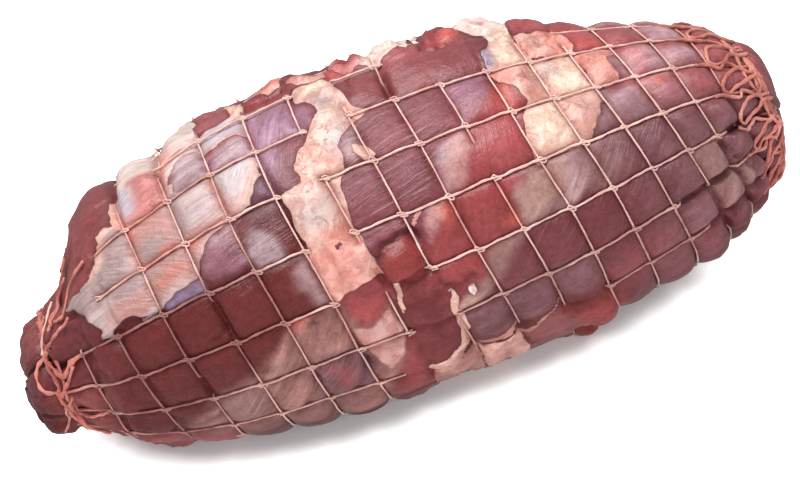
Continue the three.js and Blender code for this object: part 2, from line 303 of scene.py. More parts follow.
# Patches painted on the meat in order: layer, tint, width of the soft edge, corners as (hoop, strand)
LEAN, FILM, FAT, SHEET, HUE, STAIN = range(6)
PATCHES = [
    # Muscles
    (LEAN, "end_red", 12, [(-1, -1), (3.2, -1), (3, 2.2), (1.5, 3), (-1, 3.2)]),
    (LEAN, "wine", 8, [(-1, 3), (1.6, 2.9), (2.2, 3.9), (2.2, 5.2), (-1, 5.5)]),
    (LEAN, "brown", 8, [(1.5, 3.8), (6.2, 3.6), (6.4, 6), (6, 9), (-1, 9), (-1, 5.2), (1.5, 5)]),
    (LEAN, "pale_rose", 10, [(12.8, -1), (18, -1), (18, 4), (15.5, 4.2), (13.4, 3)]),
    (LEAN, "purple_lean", 6, [(6, 1), (11.2, 1.9), (10.8, 2.6), (9.4, 3.6), (8.6, 4.4), (6.5, 4.4)]),
    (LEAN, "rosy", 5, [(8, 0.5), (11.2, 0.4), (11.1, 1.95), (8.1, 1.95)]),
    (LEAN, "red", 2.5, [(8, 5), (8.05, 4.75), (8.4, 4.5), (8.85, 4.1), (9.2, 3.85), (9.6, 3.6), (10, 3.1),
        (10.6, 2.7), (11, 2.4), (11.2, 2.3), (11.35, 2.9), (11.15, 3.2), (11.02, 3.5), (10.85, 3.8),
        (10.45, 4.15), (10.08, 4.6), (9.97, 4.95), (9.3, 5.1), (8.9, 5.5), (8.1, 5.5)]),
    (LEAN, "rose_red", 9, [(9.9, 3.2), (11, 2.5), (11.2, 2.9), (10.9, 3.6), (10.2, 4)]),
    (LEAN, "red", 2.5, [(6.2, 4.93), (6.84, 4.8), (7.14, 4.94), (7.05, 5.1), (6.9, 5.28), (6.7, 5.5),
        (6.4, 5.58), (6.2, 5.4)]),
    (LEAN, "salmon_red", 4, [(6.35, 5.28), (6.85, 5.2), (6.75, 5.5), (6.42, 5.62)]),
    (LEAN, "red", 4, [(7.1, 5), (8.2, 5), (8.2, 5.5), (8.05, 5.9), (7.95, 6.4), (7.4, 6.85),
        (7.05, 6.9)]),
    (LEAN, "wine", 6, [(7.1, 5.3), (8, 5.3), (8, 6.6), (7.1, 6.8)]),
    (LEAN, "ball_red", 2, [(7.8, 4.38), (8, 4.48), (8.05, 4.7), (8, 4.87), (7.85, 4.97), (7.5, 5.05),
        (7.22, 5.08), (7.1, 4.9), (7.1, 4.7), (7.23, 4.53), (7.5, 4.4)]),
    (LEAN, "red", 3, [(6.82, 6.05), (7.02, 6), (6.98, 7), (6.9, 8), (6.2, 8), (6.4, 6.85)]),
    (LEAN, "bright", 2, [(10.02, 7.1), (11.15, 7.05), (11.2, 8.4), (10, 8.4)]),
    (LEAN, "rosy", 5, [(11.1, 6.6), (12, 6.5), (13, 6.4), (13, 7.2), (11.1, 7.2)]),
    (LEAN, "salmon_red", 4, [(13.6, 5.8), (14.2, 5.8), (14.2, 6.2), (13.6, 6.3)]),
    (LEAN, "purple_lean", 6, [(14, 5.9), (15.2, 5.8), (15.4, 6.4), (15.2, 7.2), (14, 7.2)]),
    (LEAN, "purple_lean", 5, [(12, 7), (16, 6.6), (16, 8), (12, 8)]),
    (LEAN, "wine", 4, [(13.6, 7.2), (15.4, 7.1), (15.4, 8), (13.6, 8)]),
    (LEAN, "pale_rose", 4, [(9, 7.05), (10, 7), (10, 8.2), (9.1, 8.2)]),
    (LEAN, "salmon_red", 5, [(13.05, 0.95), (14, 0.95), (14, 1.98), (13.1, 1.98)]),
    (LEAN, "dark", 2.5, [(4.2, 3.76), (5, 3.8), (5, 4), (4.1, 4)]),
    (LEAN, "dark", 5, [(5.2, 3.03), (6, 3.03), (6, 3.3), (5.5, 3.4)]),
    (LEAN, "pale_rose", 3, [(5, -1.2), (6, -1.2), (5.95, 0.1), (5.6, 0.8), (5, 0.8)]),
    (LEAN, "red", 3, [(6.05, 0.4), (6.8, 0.4), (7.05, 0.98), (6.05, 0.98)]),
    (LEAN, "salmon_red", 3, [(7.05, 0.1), (8.3, 0), (8.3, 0.98), (7.2, 0.8)]),
    (LEAN, "pale_rose", 3, [(9.05, 0.6), (9.9, 0.5), (9.95, 1.15), (9.1, 1.15)]),
    (LEAN, "red", 3, [(10.05, -0.2), (10.6, -0.2), (10.6, 1), (10.05, 1)]),
    (LEAN, "salmon_red", 2.5, [(10.55, 0.2), (10.98, 0.2), (10.9, 0.75), (10.5, 0.8)]),
    (LEAN, "rose_red", 4, [(12.05, -0.5), (13, -0.5), (13, 0.95), (12.1, 0.95)]),
    (LEAN, "pale_rose", 6, [(1, 7), (3, 7.1), (3, 8.4), (1, 8.4)]),
    (LEAN, "end_red", 6, [(-0.2, 5), (1, 5), (1, 7.5), (-0.2, 7.5)]),
    # Pale film and fat on the upper left, one sheet that the cords cross
    (SHEET, "pearl", 1.8, [(3.1, 1.2), (2.95, 1.1), (2.88, 1.5), (2.92, 1.75), (2.75, 1.7), (2.55, 1.73),
        (2.4, 1.9), (2.36, 2.1), (2.24, 2.35), (2.07, 2.5), (1.75, 2.53), (1.5, 2.5), (1.25, 2.5),
        (1.28, 2.65), (1.45, 2.85), (1.55, 3.1), (1.6, 3.35), (1.75, 3.6), (1.85, 3.8), (1.65, 3.95),
        (1.95, 3.97), (2.1, 3.85), (2.45, 3.78), (2.75, 3.82), (3, 3.9), (3.1, 3.88), (3.5, 3.8),
        (3.98, 3.68), (4.2, 3.42), (4.45, 3.2), (4.7, 3.05), (5.02, 3.03), (5.35, 2.98), (5.6, 2.85),
        (5.98, 2.5), (5.98, 2.05), (5, 1.98), (4.6, 1.98), (4, 1.6)]),
    (SHEET, "white", 1.8, [(2.98, 0.9), (3, 0), (3.4, -0.5), (5, -0.6), (5.02, 0.7), (5.5, 0.78),
        (5.98, 0.75), (6, 1), (5.98, 1.5), (5.1, 1.5), (4.5, 1.3), (4.05, 1.7), (3.98, 2.02), (3, 2.02)]),
    (HUE, "blush", 4, [(3.42, 0.95), (3.9, 0.9), (3.97, 1.3), (3.8, 1.5), (3.5, 1.42)]),
    (HUE, "blush", 4, [(3.35, 1.45), (3.98, 1.35), (3.98, 1.98), (3.12, 1.98)]),
    (HUE, "blue_grey", 4, [(3.1, 1.1), (3.35, 1.1), (3.35, 1.7), (3.1, 1.8)]),
    (HUE, "pink_film", 6, [(3.05, 2), (4, 2), (4, 3), (3.05, 3)]),
    (HUE, "ash", 3, [(3.2, 2.5), (3.55, 2.5), (3.65, 2.75), (3.5, 2.92), (3.2, 2.88)]),
    (HUE, "pearl", 6, [(4.15, 2.05), (4.95, 2.05), (4.95, 2.85), (4.25, 2.85)]),
    (HUE, "ash", 4, [(4.02, 2.05), (4.22, 2.1), (4.3, 2.9), (4.02, 2.9)]),
    (HUE, "pink_film", 4, [(4, 2.86), (5, 2.84), (5, 3.05), (4, 3.1)]),
    (HUE, "pink_film", 3, [(4.95, 2), (5.1, 2), (5.14, 3), (4.95, 3)]),
    # Painted highlight: a pale glint on the wet sheet, painted in silver
    (HUE, "silver", 5, [(5.2, 2.1), (5.85, 2.05), (5.7, 2.4), (5.4, 2.6), (5.2, 2.5)]),
    (HUE, "cream", 3, [(5.98, 2.12), (5.98, 2.4), (5.68, 2.75), (5.4, 2.95), (5.2, 2.95), (5.55, 2.65)]),
    (HUE, "pink_film", 4, [(2.1, 3.4), (3, 3.3), (3, 3.85), (2.1, 3.9)]),
    (HUE, "ash", 4, [(2.25, 1.85), (2.88, 1.85), (2.92, 2.5), (2.6, 2.9), (2.1, 2.95)]),
    (HUE, "ash", 3, [(2.35, 3.05), (2.9, 3.0), (2.85, 3.3), (2.4, 3.35)]),
    (HUE, "ash", 3, [(3.1, 3.1), (3.9, 3.02), (3.8, 3.22), (3.1, 3.34)]),
    (HUE, "ash", 5, [(1.2, 2.45), (2.05, 2.5), (2, 3.2), (1.6, 3.2)]),
    (HUE, "rim", 4, [(3.05, 3.2), (4, 3.15), (4, 3.6), (3.05, 3.72)]),
    (HUE, "pink_film", 4, [(4.02, 3.02), (4.4, 3.02), (4.25, 3.4), (4.02, 3.5)]),
    (HUE, "blue_grey", 5, [(5.05, 0.75), (5.97, 0.7), (5.97, 1.4), (5.05, 1.35)]),
    (FILM, "lavender", 3.5, [(4.3, 1.45), (4.6, 1.25), (5, 1.2), (5, 1.98), (4.15, 1.98)]),
    (FILM, "violet", 3, [(5.02, 1.62), (5.5, 1.57), (5.98, 1.52), (5.98, 2), (5.02, 2)]),
    (FILM, "lavender", 6, [(5.35, 1.65), (5.95, 1.6), (5.95, 1.85), (5.4, 1.9)]),
    (FILM, "violet", 3, [(6.02, 1.02), (7, 1.02), (7.12, 1.4), (7.3, 1.65), (7.3, 1.98), (6.02, 1.98)]),
    (FILM, "violet", 5, [(6.02, 2.02), (6.5, 2.02), (6.3, 2.5), (6.02, 2.7)]),
    (FILM, "plum", 3, [(5.62, 2.85), (5.98, 2.5), (5.98, 2.98), (5.45, 2.99)]),
    (FILM, "slate", 2, [(3.15, 3.84), (3.98, 3.7), (3.98, 3.98), (3.15, 4.0)]),
    (FILM, "mauve_film", 3.5, [(4.5, 3.22), (4.98, 3.08), (4.98, 3.7), (4.5, 3.74), (4.1, 3.68),
        (4.25, 3.45)]),
    (FILM, "lilac", 5, [(4.4, 3.5), (4.98, 3.45), (4.98, 3.75), (4.3, 3.78)]),
    (FILM, "lavender", 2.5, [(5.02, 3.36), (5.3, 3.3), (5.5, 3.45), (5.62, 3.62), (5.6, 3.9),
        (5.45, 3.98), (5.02, 3.96)]),
    (SHEET, "silver", 1.5, [(2.55, 3.88), (2.95, 3.8), (2.98, 3.93), (2.6, 3.98)]),
    # Crumpled fat along the top
    (FAT, "cream", 2, [(5.65, 0.35), (6, 0.25), (6.12, 0.5), (6.05, 0.92), (5.85, 0.92)]),
    (FAT, "pink_fat", 2, [(6.1, 0.05), (6.5, 0), (6.6, 0.3), (6.2, 0.4)]),
    (FAT, "pink_fat", 2, [(6.4, 0.2), (6.95, 0.1), (7, 0.55), (6.6, 0.6)]),
    (FAT, "blush", 2, [(7.1, 0.25), (7.6, 0.2), (7.95, 0.45), (7.9, 0.8), (7.4, 0.8), (7.1, 0.7)]),
    (FAT, "blush", 2, [(8.1, -0.3), (8.95, -0.3), (8.92, 0.4), (8.75, 0.75), (8.3, 0.85), (8.1, 0.6)]),
    (FAT, "white", 1.6, [(8.75, 0.45), (9, 0.4), (9, 0.85), (8.8, 0.8)]),
    # Crest fat in the brighter white: painted light on the top of the roll
    (FAT, "bright_white", 2, [(8.98, -0.5), (9.85, -0.5), (9.88, 0.6), (9.5, 0.8), (9.15, 0.95),
        (8.95, 0.95)]),
    (FAT, "bright_white", 1.4, [(9.95, -0.6), (10.12, -0.6), (10.08, 0.2), (9.98, 0.5)]),
    (FAT, "bright_white", 2, [(10.95, -0.6), (12, -0.6), (12.02, 0.9), (11.5, 0.95), (11.2, 0.62),
        (10.95, 0.25)]),
    (STAIN, "orange", 3, [(7.05, -0.2), (7.6, -0.2), (7.6, 0.3), (7.1, 0.3)]),
    (STAIN, "blood", 3, [(8.15, 0.2), (8.85, 0.1), (8.8, 0.65), (8.3, 0.75)]),
    (STAIN, "blood", 3, [(7.15, 0.4), (7.8, 0.4), (7.8, 0.7), (7.2, 0.65)]),
    (STAIN, "orange", 3, [(6.5, 0.2), (6.95, 0.15), (6.9, 0.45), (6.55, 0.5)]),
    (STAIN, "orange", 3, [(10.55, 0.2), (10.9, 0.2), (10.9, 0.75), (10.6, 0.75)]),
    (STAIN, "orange", 3.5, [(4, 0.4), (4.4, 0.4), (4.4, 0.95), (4, 1)]),
    (STAIN, "orange", 3, [(3.98, 1.6), (4.02, 1.05), (4.3, 0.95), (4.99, 0.98), (4.99, 1.14),
        (4.45, 1.16), (4.2, 1.4), (4.1, 1.8)]),
    (STAIN, "blood", 3.5, [(5, 1.3), (5.3, 1.4), (5.98, 1.44), (5.98, 1.52), (5.3, 1.54), (5.02, 1.7)]),
    (STAIN, "orange", 2.5, [(2.94, 1.5), (3.06, 1.5), (3.12, 2), (3.1, 3), (2.98, 3), (2.92, 2)]),
    (STAIN, "orange", 2, [(3.05, 2.92), (4.1, 2.88), (4.4, 2.95), (4.4, 3.05), (3.05, 3.06)]),
    (STAIN, "orange", 2, [(3.02, 1.94), (4, 1.92), (4, 2.05), (3.02, 2.08)]),
    (STAIN, "orange", 2.5, [(3.25, 3.42), (3.95, 3.33), (3.95, 3.42), (3.2, 3.54)]),
    (STAIN, "blood", 2.5, [(3.92, 0.8), (4.04, 0.8), (4.04, 1.6), (3.98, 1.6)]),
    # The fat band across the middle
    (FAT, "cream", 1.6, [(7.15, 1.35), (7.12, 1), (7.35, 0.9), (7.75, 0.9), (7.98, 1.1), (8, 1.35),
        (8.1, 1.6), (8.15, 1.9), (8.45, 2.02), (8.15, 2.18), (7.95, 2.2), (7.8, 2.35), (7.6, 2.6),
        (7.42, 2.95), (7.2, 3.2), (7.1, 3.6), (7.05, 3.95), (7.1, 4.3), (7.14, 4.75), (6.84, 4.82),
        (6.5, 4.88), (6.15, 4.98), (6.1, 5.2), (6, 5), (6.02, 4.5), (6.05, 3.9), (6.03, 3.05),
        (6.5, 2.98), (6.6, 2.6), (6.75, 2.4), (7, 2.2), (7.3, 1.93), (7.5, 1.8), (7.35, 1.5)]),
    (HUE, "yellow_cream", 5, [(7.2, 0.8), (7.8, 0.75), (7.95, 1.2), (7.4, 1.3)]),
    (HUE, "ash", 5, [(7.35, 1.45), (7.7, 1.4), (7.8, 1.75), (7.5, 1.75)]),
    (HUE, "pearl", 5, [(7.55, 2.1), (7.85, 2.2), (7.6, 2.6), (7.45, 2.8), (7.3, 2.6)]),
    (HUE, "pink_fat", 8, [(6.05, 4.05), (7, 4), (7.05, 4.85), (6.1, 4.9)]),
    (HUE, "grey_white", 8, [(6.2, 3.2), (6.9, 3.1), (6.8, 3.7), (6.25, 3.8)]),
    (STAIN, "orange", 6, [(6.4, 3.8), (6.95, 3.75), (6.95, 4), (6.5, 4.05)]),
    (STAIN, "blood", 1.4, [(6.7, 4.28), (6.84, 4.26), (6.82, 4.42), (6.7, 4.42)]),
    (FILM, "plum", 1.6, [(6.56, 4.1), (6.7, 4.06), (6.72, 4.16), (6.6, 4.2)]),
    (FILM, "grey_pink", 3, [(7.55, 2.7), (7.75, 2.35), (7.97, 2.2), (7.97, 2.72), (7.6, 2.9)]),
    (FAT, "cream", 1.4, [(7.75, 2.75), (7.9, 2.64), (8.1, 2.68), (8.14, 2.92), (7.85, 2.97)]),
    # Beige film on the lower left
    (FILM, "beige", 3, [(6, 4.9), (5.75, 5.02), (5.4, 5.06), (5.05, 5.1), (4.75, 5.3), (4.45, 5.5),
        (4.15, 5.72), (3.95, 5.86), (3.6, 5.95), (3.3, 6.05), (3, 6.35), (2.7, 6.6), (2.3, 6.8),
        (2.35, 6.95), (3, 7.1), (4, 7.3), (5, 7.6), (6, 7.8), (6.35, 7), (6.6, 6.5), (6.8, 6.08),
        (7.02, 5.95), (7.02, 5.2), (6.9, 5.28), (6.7, 5.5), (6.4, 5.58), (6.2, 5.4), (6.1, 5)]),
    (FILM, "grey_beige", 8, [(3, 6.1), (4, 5.9), (5, 6.1), (5.4, 7.4), (3, 7.4), (2.3, 6.8)]),
    (FILM, "beige", 6, [(4.2, 6.05), (4.9, 6), (4.7, 6.6), (4.2, 6.7)]),
    (FAT, "pink_film", 5, [(6.15, 5.5), (6.45, 5.62), (6.9, 5.35), (7, 5.9), (6.6, 6.4), (6.3, 6.7),
        (6.1, 6.1)]),
    (FILM, "dusk", 7, [(5.1, 6.1), (5.95, 6), (5.9, 6.9), (5.1, 6.9)]),
    (STAIN, "blood", 6, [(5.3, 6.2), (5.6, 6.2), (5.55, 6.6), (5.35, 6.6)]),
    (STAIN, "orange", 3, [(5.1, 5.02), (5.6, 5), (5.3, 5.15), (5.05, 5.2)]),
    (FILM, "grey_pink", 4, [(5.7, 4.2), (5.98, 4.05), (5.98, 4.9), (5.75, 4.9)]),
    # Sinew, film and bits of fat in the lower middle
    (FAT, "cream", 1.2, [(7.16, 5.04), (7.28, 5.06), (7.22, 5.35), (7.16, 5.6), (7.09, 5.55),
        (7.11, 5.25)]),
    (FILM, "pink_film", 2, [(8.3, 4.5), (8.35, 4.28), (8.55, 4.1), (8.9, 4.02), (8.75, 4.25), (8.5, 4.45),
        (8.25, 4.6)]),
    (STAIN, "orange", 4, [(8.75, 4.12), (8.95, 4.1), (8.9, 4.35), (8.65, 4.45)]),
    (FILM, "mauve_film", 3, [(9.05, 3.95), (9.1, 3.5), (9.3, 3.2), (9.95, 3.03), (9.95, 3.2),
        (9.65, 3.55), (9.3, 3.85)]),
    (FILM, "pink_film", 3, [(9.3, 3.7), (9.6, 3.25), (9.95, 3.05), (9.95, 3.2), (9.62, 3.58),
        (9.3, 3.85)]),
    (FILM, "grey_beige", 3, [(8.1, 5.98), (8.3, 5.85), (8.7, 5.6), (8.95, 5.45), (9.05, 5.25),
        (9.35, 5.06), (9.97, 5.02), (9.85, 5.15), (9.4, 5.4), (9.1, 5.65), (8.9, 5.75), (8.5, 5.98)]),
    (FAT, "white", 1.2, [(8.02, 5.48), (8.14, 5.48), (8.18, 5.6), (8.1, 5.72), (8.03, 5.66)]),
    (FAT, "white", 1.2, [(8.36, 5.58), (8.54, 5.52), (8.56, 5.62), (8.42, 5.72)]),
    (FILM, "pale_beige", 2, [(8.08, 5.7), (8.45, 5.72), (8.4, 5.95), (8.12, 5.97)]),
    (FILM, "dusk", 4, [(8.08, 6.03), (8.97, 6.03), (10, 6.05), (11, 6), (11, 6.7), (10, 6.6), (9, 6.8),
        (8.08, 6.85)]),
    (FAT, "rim", 2, [(7.02, 7.02), (7.5, 7.0), (8, 6.98), (8.05, 7.25), (8, 8.3), (7, 8.3)]),
    (FAT, "cream", 2, [(8.06, 7.02), (8.5, 7.05), (8.97, 6.95), (9, 7.25), (8.95, 8.3), (8.06, 8.3)]),
    # Fat and film on the right
    (FILM, "lilac", 5, [(10.05, 2.05), (10.98, 2.03), (10.7, 2.5), (10.1, 2.95)]),
    (FAT, "yellow_cream", 2, [(11.1, 1.98), (11.15, 1.5), (11.35, 1.25), (11.4, 0.9), (12, 0.7),
        (12.05, 1.98)]),
    (HUE, "slate", 3, [(11.06, 1.95), (11.1, 1.3), (11.3, 1.15), (11.32, 1.9)]),
    (FAT, "cream", 2, [(11.3, 2.02), (11.98, 2.02), (12.98, 2.02), (13, 3), (13.1, 2.95), (12.98, 3.35),
        (12.5, 3.6), (12.25, 3.98), (11.1, 4.02), (10.85, 4.1), (11.04, 3.5), (11.15, 3.2), (11.5, 2.98),
        (11.45, 2.6), (11.25, 2.4)]),
    (FAT, "pink_fat", 2.5, [(11.02, 2.03), (11.4, 2.03), (11.45, 2.4), (11.25, 2.5), (11.1, 2.4)]),
    (STAIN, "orange", 5, [(10.75, 2.65), (11.05, 2.25), (11.25, 2.3), (11.3, 2.75), (10.9, 2.98)]),
    (STAIN, "blood", 4, [(11.6, 2.1), (11.9, 2.1), (11.75, 2.9), (11.5, 2.95)]),
    (HUE, "yellow_cream", 6, [(12.3, 2.15), (12.95, 2.1), (12.9, 2.9), (12.1, 2.95)]),
    (HUE, "grey_white", 5, [(12.1, 2.1), (12.35, 2.05), (12.4, 2.4), (12.2, 2.5)]),
    (HUE, "yellow_cream", 6, [(11.4, 3.1), (12, 3.1), (11.9, 3.7), (11.3, 3.8)]),
    (HUE, "pink_film", 6, [(12.3, 3.3), (13, 3.1), (12.8, 3.5), (12.3, 3.8)]),
    (FILM, "grey_pink", 4, [(10, 4.95), (10.1, 4.6), (10.4, 4.25), (10.85, 4.03), (12, 4.02), (13, 4.05),
        (13, 4.5), (12, 4.75), (11, 4.9), (10.4, 4.97)]),
    (FILM, "pale_beige", 7, [(10.25, 4.55), (10.6, 4.15), (11.2, 4.1), (11, 4.6), (10.4, 4.75)]),
    (FILM, "grey_beige", 14, [(12.05, 4.1), (12.98, 4.1), (12.98, 4.6), (12.05, 4.8)]),
    (STAIN, "orange", 2.5, [(9.75, 4.75), (9.95, 4.55), (10.05, 4.75), (9.98, 4.95)]),
    (FILM, "mauve_film", 5, [(12.3, 3.97), (12.5, 3.65), (13, 3.4), (14, 3.05), (14, 3.97)]),
    (FAT, "pink_fat", 3, [(13.02, 2.02), (13.97, 2.02), (13.97, 2.35), (13.8, 2.6), (13.6, 2.97),
        (13.02, 2.97)]),
    (HUE, "cream", 4, [(13.02, 2.6), (13.3, 2.6), (13.3, 2.97), (13.02, 2.97)]),
    (FILM, "rose_film", 5, [(13.65, 2.4), (15, 2.1), (15, 2.97), (13.65, 2.97)]),
    (FILM, "mauve_film", 5, [(13.62, 2.5), (13.9, 2.48), (13.9, 2.75), (13.65, 2.78)]),
    (FAT, "pink_fat", 2, [(12.04, 1.1), (12.9, 1.1), (13.05, 1.35), (13.2, 1.75), (13.1, 1.98),
        (12.04, 1.98)]),
    (HUE, "cream", 5, [(12.2, 1.2), (12.6, 1.2), (12.6, 1.9), (12.2, 1.9)]),
    (STAIN, "orange", 6, [(12.4, 1.2), (12.9, 1.1), (12.9, 1.6), (12.5, 1.6)]),
    (FILM, "rose_film", 5, [(14.02, 3.03), (14.97, 3.03), (14.97, 3.9), (14.02, 3.97)]),
    (STAIN, "orange", 2.5, [(14.35, 3.15), (14.65, 3.18), (14.6, 3.4), (14.4, 3.36)]),
    (FILM, "mauve_film", 5, [(14.6, 2.45), (15.2, 2.5), (16, 2.5), (16, 2.95), (14.6, 2.9)]),
    (FILM, "mauve_film", 3, [(15.02, 1.05), (15.98, 1.05), (15.98, 1.95), (15.05, 1.95)]),
    (FILM, "grey_pink", 5, [(14.2, 0.3), (15.8, 0.3), (15.8, 0.8), (14.2, 0.8)]),
    (FILM, "dusk", 22, [(12.8, 4.2), (14, 4.05), (16.4, 4), (16.6, 7), (12.8, 7)]),
    (FILM, "grey_beige", 5, [(14.1, 5.1), (15, 5.05), (15, 5.8), (14.2, 5.9)]),
    (FILM, "grey_beige", 6, [(14.1, 6.1), (15, 6), (15.1, 6.9), (14.1, 6.9)]),
]

# Thin pale lines of sinew and film edge: tint, half width, points as (hoop, strand)
SINEWS = [
    ("cream", 1.4, [(8.07, 5.65), (8.02, 6.05), (7.99, 6.43), (7.76, 6.76), (7.45, 6.92), (7.05, 6.93)]),
    ("rim", 0.7, [(7.95, 6.75), (7.75, 6.9), (7.5, 7)]),
    ("rim", 0.9, [(8.05, 6.93), (8.5, 6.95), (9, 6.84)]),
    ("rim", 0.7, [(9, 6.98), (9.4, 6.98), (9.75, 6.85), (10, 6.7)]),
    ("pink_film", 0.8, [(8.08, 4.28), (8.2, 4.15), (8.35, 4.1)]),
    ("cream", 1.0, [(2.05, 2.52), (2.3, 2.35), (2.4, 1.95), (2.55, 1.74), (2.75, 1.7)]),
    ("cream", 1.0, [(2.95, 1.15), (2.93, 1.5), (2.98, 1.9)]),
]

# Seams where muscles part, sunk into the relief so that the painted hollow shade darkens them: depth, half
# width, points
SEAMS = [
    (1.8, 0.9, [(4.2, 5.8), (4.42, 5.7)]),
    (1.8, 0.9, [(5.38, 5.2), (5.52, 5.14)]),
    (1.5, 0.8, [(5.68, 5.54), (5.76, 5.48)]),
    (1.6, 0.9, [(3.38, 6.06), (3.68, 6.02)]),
    (1.5, 0.9, [(3.7, 4.82), (3.97, 4.7)]),
    (1.2, 1.1, [(4.5, 7.0), (4.8, 6.6), (4.95, 6.3)]),
    (1.2, 1.1, [(5.4, 7.1), (5.97, 6.3)]),
    (1.8, 1.1, [(14.05, 5.97), (14.5, 5.98), (14.95, 5.93), (15.3, 5.82)]),
    (1.8, 1.0, [(15.1, 5.25), (15.15, 5.5), (15.28, 5.8)]),
    (2.0, 1.0, [(8.16, 5.46), (8.4, 5.48), (8.64, 5.4)]),
    (1.5, 0.9, [(8.35, 1.1), (8.32, 1.35), (8.22, 1.55)]),
    (1.6, 1.0, [(8.97, 1.3), (8.95, 1.8)]),
    (1.4, 1.0, [(2.1, 3.95), (2.5, 3.88), (2.9, 3.95)]),
    (1.6, 1.1, [(10.02, 7.1), (10.5, 7.02), (11.1, 7.08)]),
    (1.4, 1.0, [(15.4, 6.1), (15.45, 6.5), (15.4, 6.95)]),
    (1.3, 1.1, [(1.2, 2.75), (1.5, 3.0), (1.6, 3.5)]),
    (2.8, 1.0, [(7.9, 5.02), (7.5, 5.12), (7.2, 5.14), (7.04, 4.95), (7.03, 4.7), (7.18, 4.48),
        (7.5, 4.33), (7.8, 4.31), (8.05, 4.42)]),
    (1.0, 0.9, [(7.05, 6.0), (7.5, 6.02), (8, 5.98)]),
    (1.0, 0.9, [(7.3, 5.5), (7.6, 5.45), (7.95, 5.5)]),
    (1.2, 1.0, [(7.05, 6.1), (7.08, 6.6), (6.95, 7.1)]),
    (1.2, 0.9, [(8.02, 5.1), (8.05, 5.4)]),
    (1.4, 1.0, [(8.03, 7.0), (8.05, 7.6)]),
    (1.4, 1.0, [(9.02, 7.05), (9.03, 7.6)]),
    (1.0, 0.9, [(1.25, 3.95), (1.2, 3.5), (1.12, 3.2)]),
    (1.6, 1.0, [(10.08, 0.1), (10.1, 0.5), (10.05, 0.9)]),
    (1.5, 1.0, [(9.05, 0.4), (9.4, 0.42), (9.9, 0.35)]),
    (1.6, 1.1, [(6.1, 0.85), (6.35, 0.6), (6.6, 0.62), (6.9, 0.7)]),
    (1.3, 1.0, [(12.02, 0.1), (12.05, 0.6), (12.1, 0.9)]),
    (1.2, 1.0, [(6.35, 4.05), (6.4, 4.4), (6.3, 4.8)]),
    (1.3, 0.9, [(12.1, 1.5), (12.4, 1.45), (12.7, 1.6), (13, 1.5)]),
    (1.3, 0.9, [(12.45, 1.15), (12.5, 1.45), (12.35, 1.7), (12.25, 1.95)]),
    (1.3, 0.9, [(12.8, 1.2), (12.7, 1.6), (12.8, 1.9)]),
    (1.5, 0.9, [(8.1, 0.5), (8.35, 0.55), (8.6, 0.4), (8.85, 0.6)]),
    (1.3, 0.9, [(8.45, 0), (8.5, 0.4), (8.45, 0.8)]),
    (1.8, 0.9, [(10.5, 0.1), (10.5, 0.5), (10.45, 0.95)]),
    (1.6, 0.9, [(10.05, 0.95), (10.3, 1), (10.5, 0.85), (10.95, 0.85)]),
    (3.0, 2.0, [(-0.95, 3.4), (-0.5, 3.3), (0, 3.4)]),
    (2.0, 1.6, [(-0.95, 6.4), (-0.5, 6.3), (0, 6.2)]),
]

# Direction of the fibres: degrees that their right end is turned up from along the roll, soft edge, corners
FIBRE_TURN = 12.0
FIBRES = [
    (70, 10, [(8, 5), (8.4, 4.4), (10, 3), (11.3, 2.3), (11.3, 3), (10.5, 4.2), (9.9, 5.1), (8.9, 5.5)]),
    (40, 14, [(10, 4.7), (14, 3.5), (14.6, 6), (10, 6.4), (9, 5.6)]),
    (48, 10, [(5, 5), (6, 4.9), (7, 5.4), (6.6, 7.2), (3, 7.2), (3.4, 6)]),
    (-35, 12, [(3, 1.9), (4.1, 1.9), (4.4, 3.9), (2.2, 3.9), (2.2, 2)]),
    (65, 10, [(6, 0.95), (7.2, 1), (7, 2.4), (6, 2.9)]),
    (55, 12, [(5.2, 2), (6, 2), (6, 3), (5.2, 3)]),
    (-20, 12, [(12.8, -1), (17.5, -1), (17.5, 2.6), (13.6, 2.4)]),
    (55, 12, [(13.8, 4.6), (17, 4.2), (17, 7.5), (13.8, 7.5)]),
]

# Strength of the pale threads in the meat: strength, soft edge, corners
FEW_THREADS = 0.12
THREADS = [
    (1.0, 7, [(7.1, 2.1), (9.9, 2), (10.6, 2.4), (9.5, 3.6), (8.7, 4.4), (7.1, 4.3)]),
    (0.55, 9, [(10, 4.6), (14, 3.2), (14.4, 5.2), (10, 5.4)]),
    (0.25, 8, [(8.9, 5.2), (11, 5.1), (13, 6), (11, 6.9), (9, 7)]),
    (0.7, 7, [(4.1, 0.7), (7, 1), (6.8, 2.6), (5.9, 3.9), (4.1, 3.8), (4.1, 2)]),
    (0.5, 9, [(3, 6), (6, 5), (6.8, 5.8), (6.2, 7.2), (3, 7.2)]),
    (0.35, 9, [(13.8, 4.6), (16.5, 4.2), (16.5, 7.2), (13.8, 7.2)]),
]

# Cords that are soaked and dark: strength, soft edge, corners
WET_CORDS = [
    (1.0, 6, [(-1, 3.6), (5.2, 3.75), (5.2, 5), (4.7, 5.4), (3.2, 6.2), (2.5, 9), (-1, 9)]),
    (0.45, 10, [(4, 5.6), (12, 5.2), (13, 9), (2, 9), (2.5, 6.5)]),
    (0.75, 10, [(7.5, 5.8), (18, 5.6), (18, 9), (6, 9), (6, 7)]),
    (0.55, 12, [(12.5, 4.7), (18, 4.5), (18, 6), (12.5, 6)]),
]

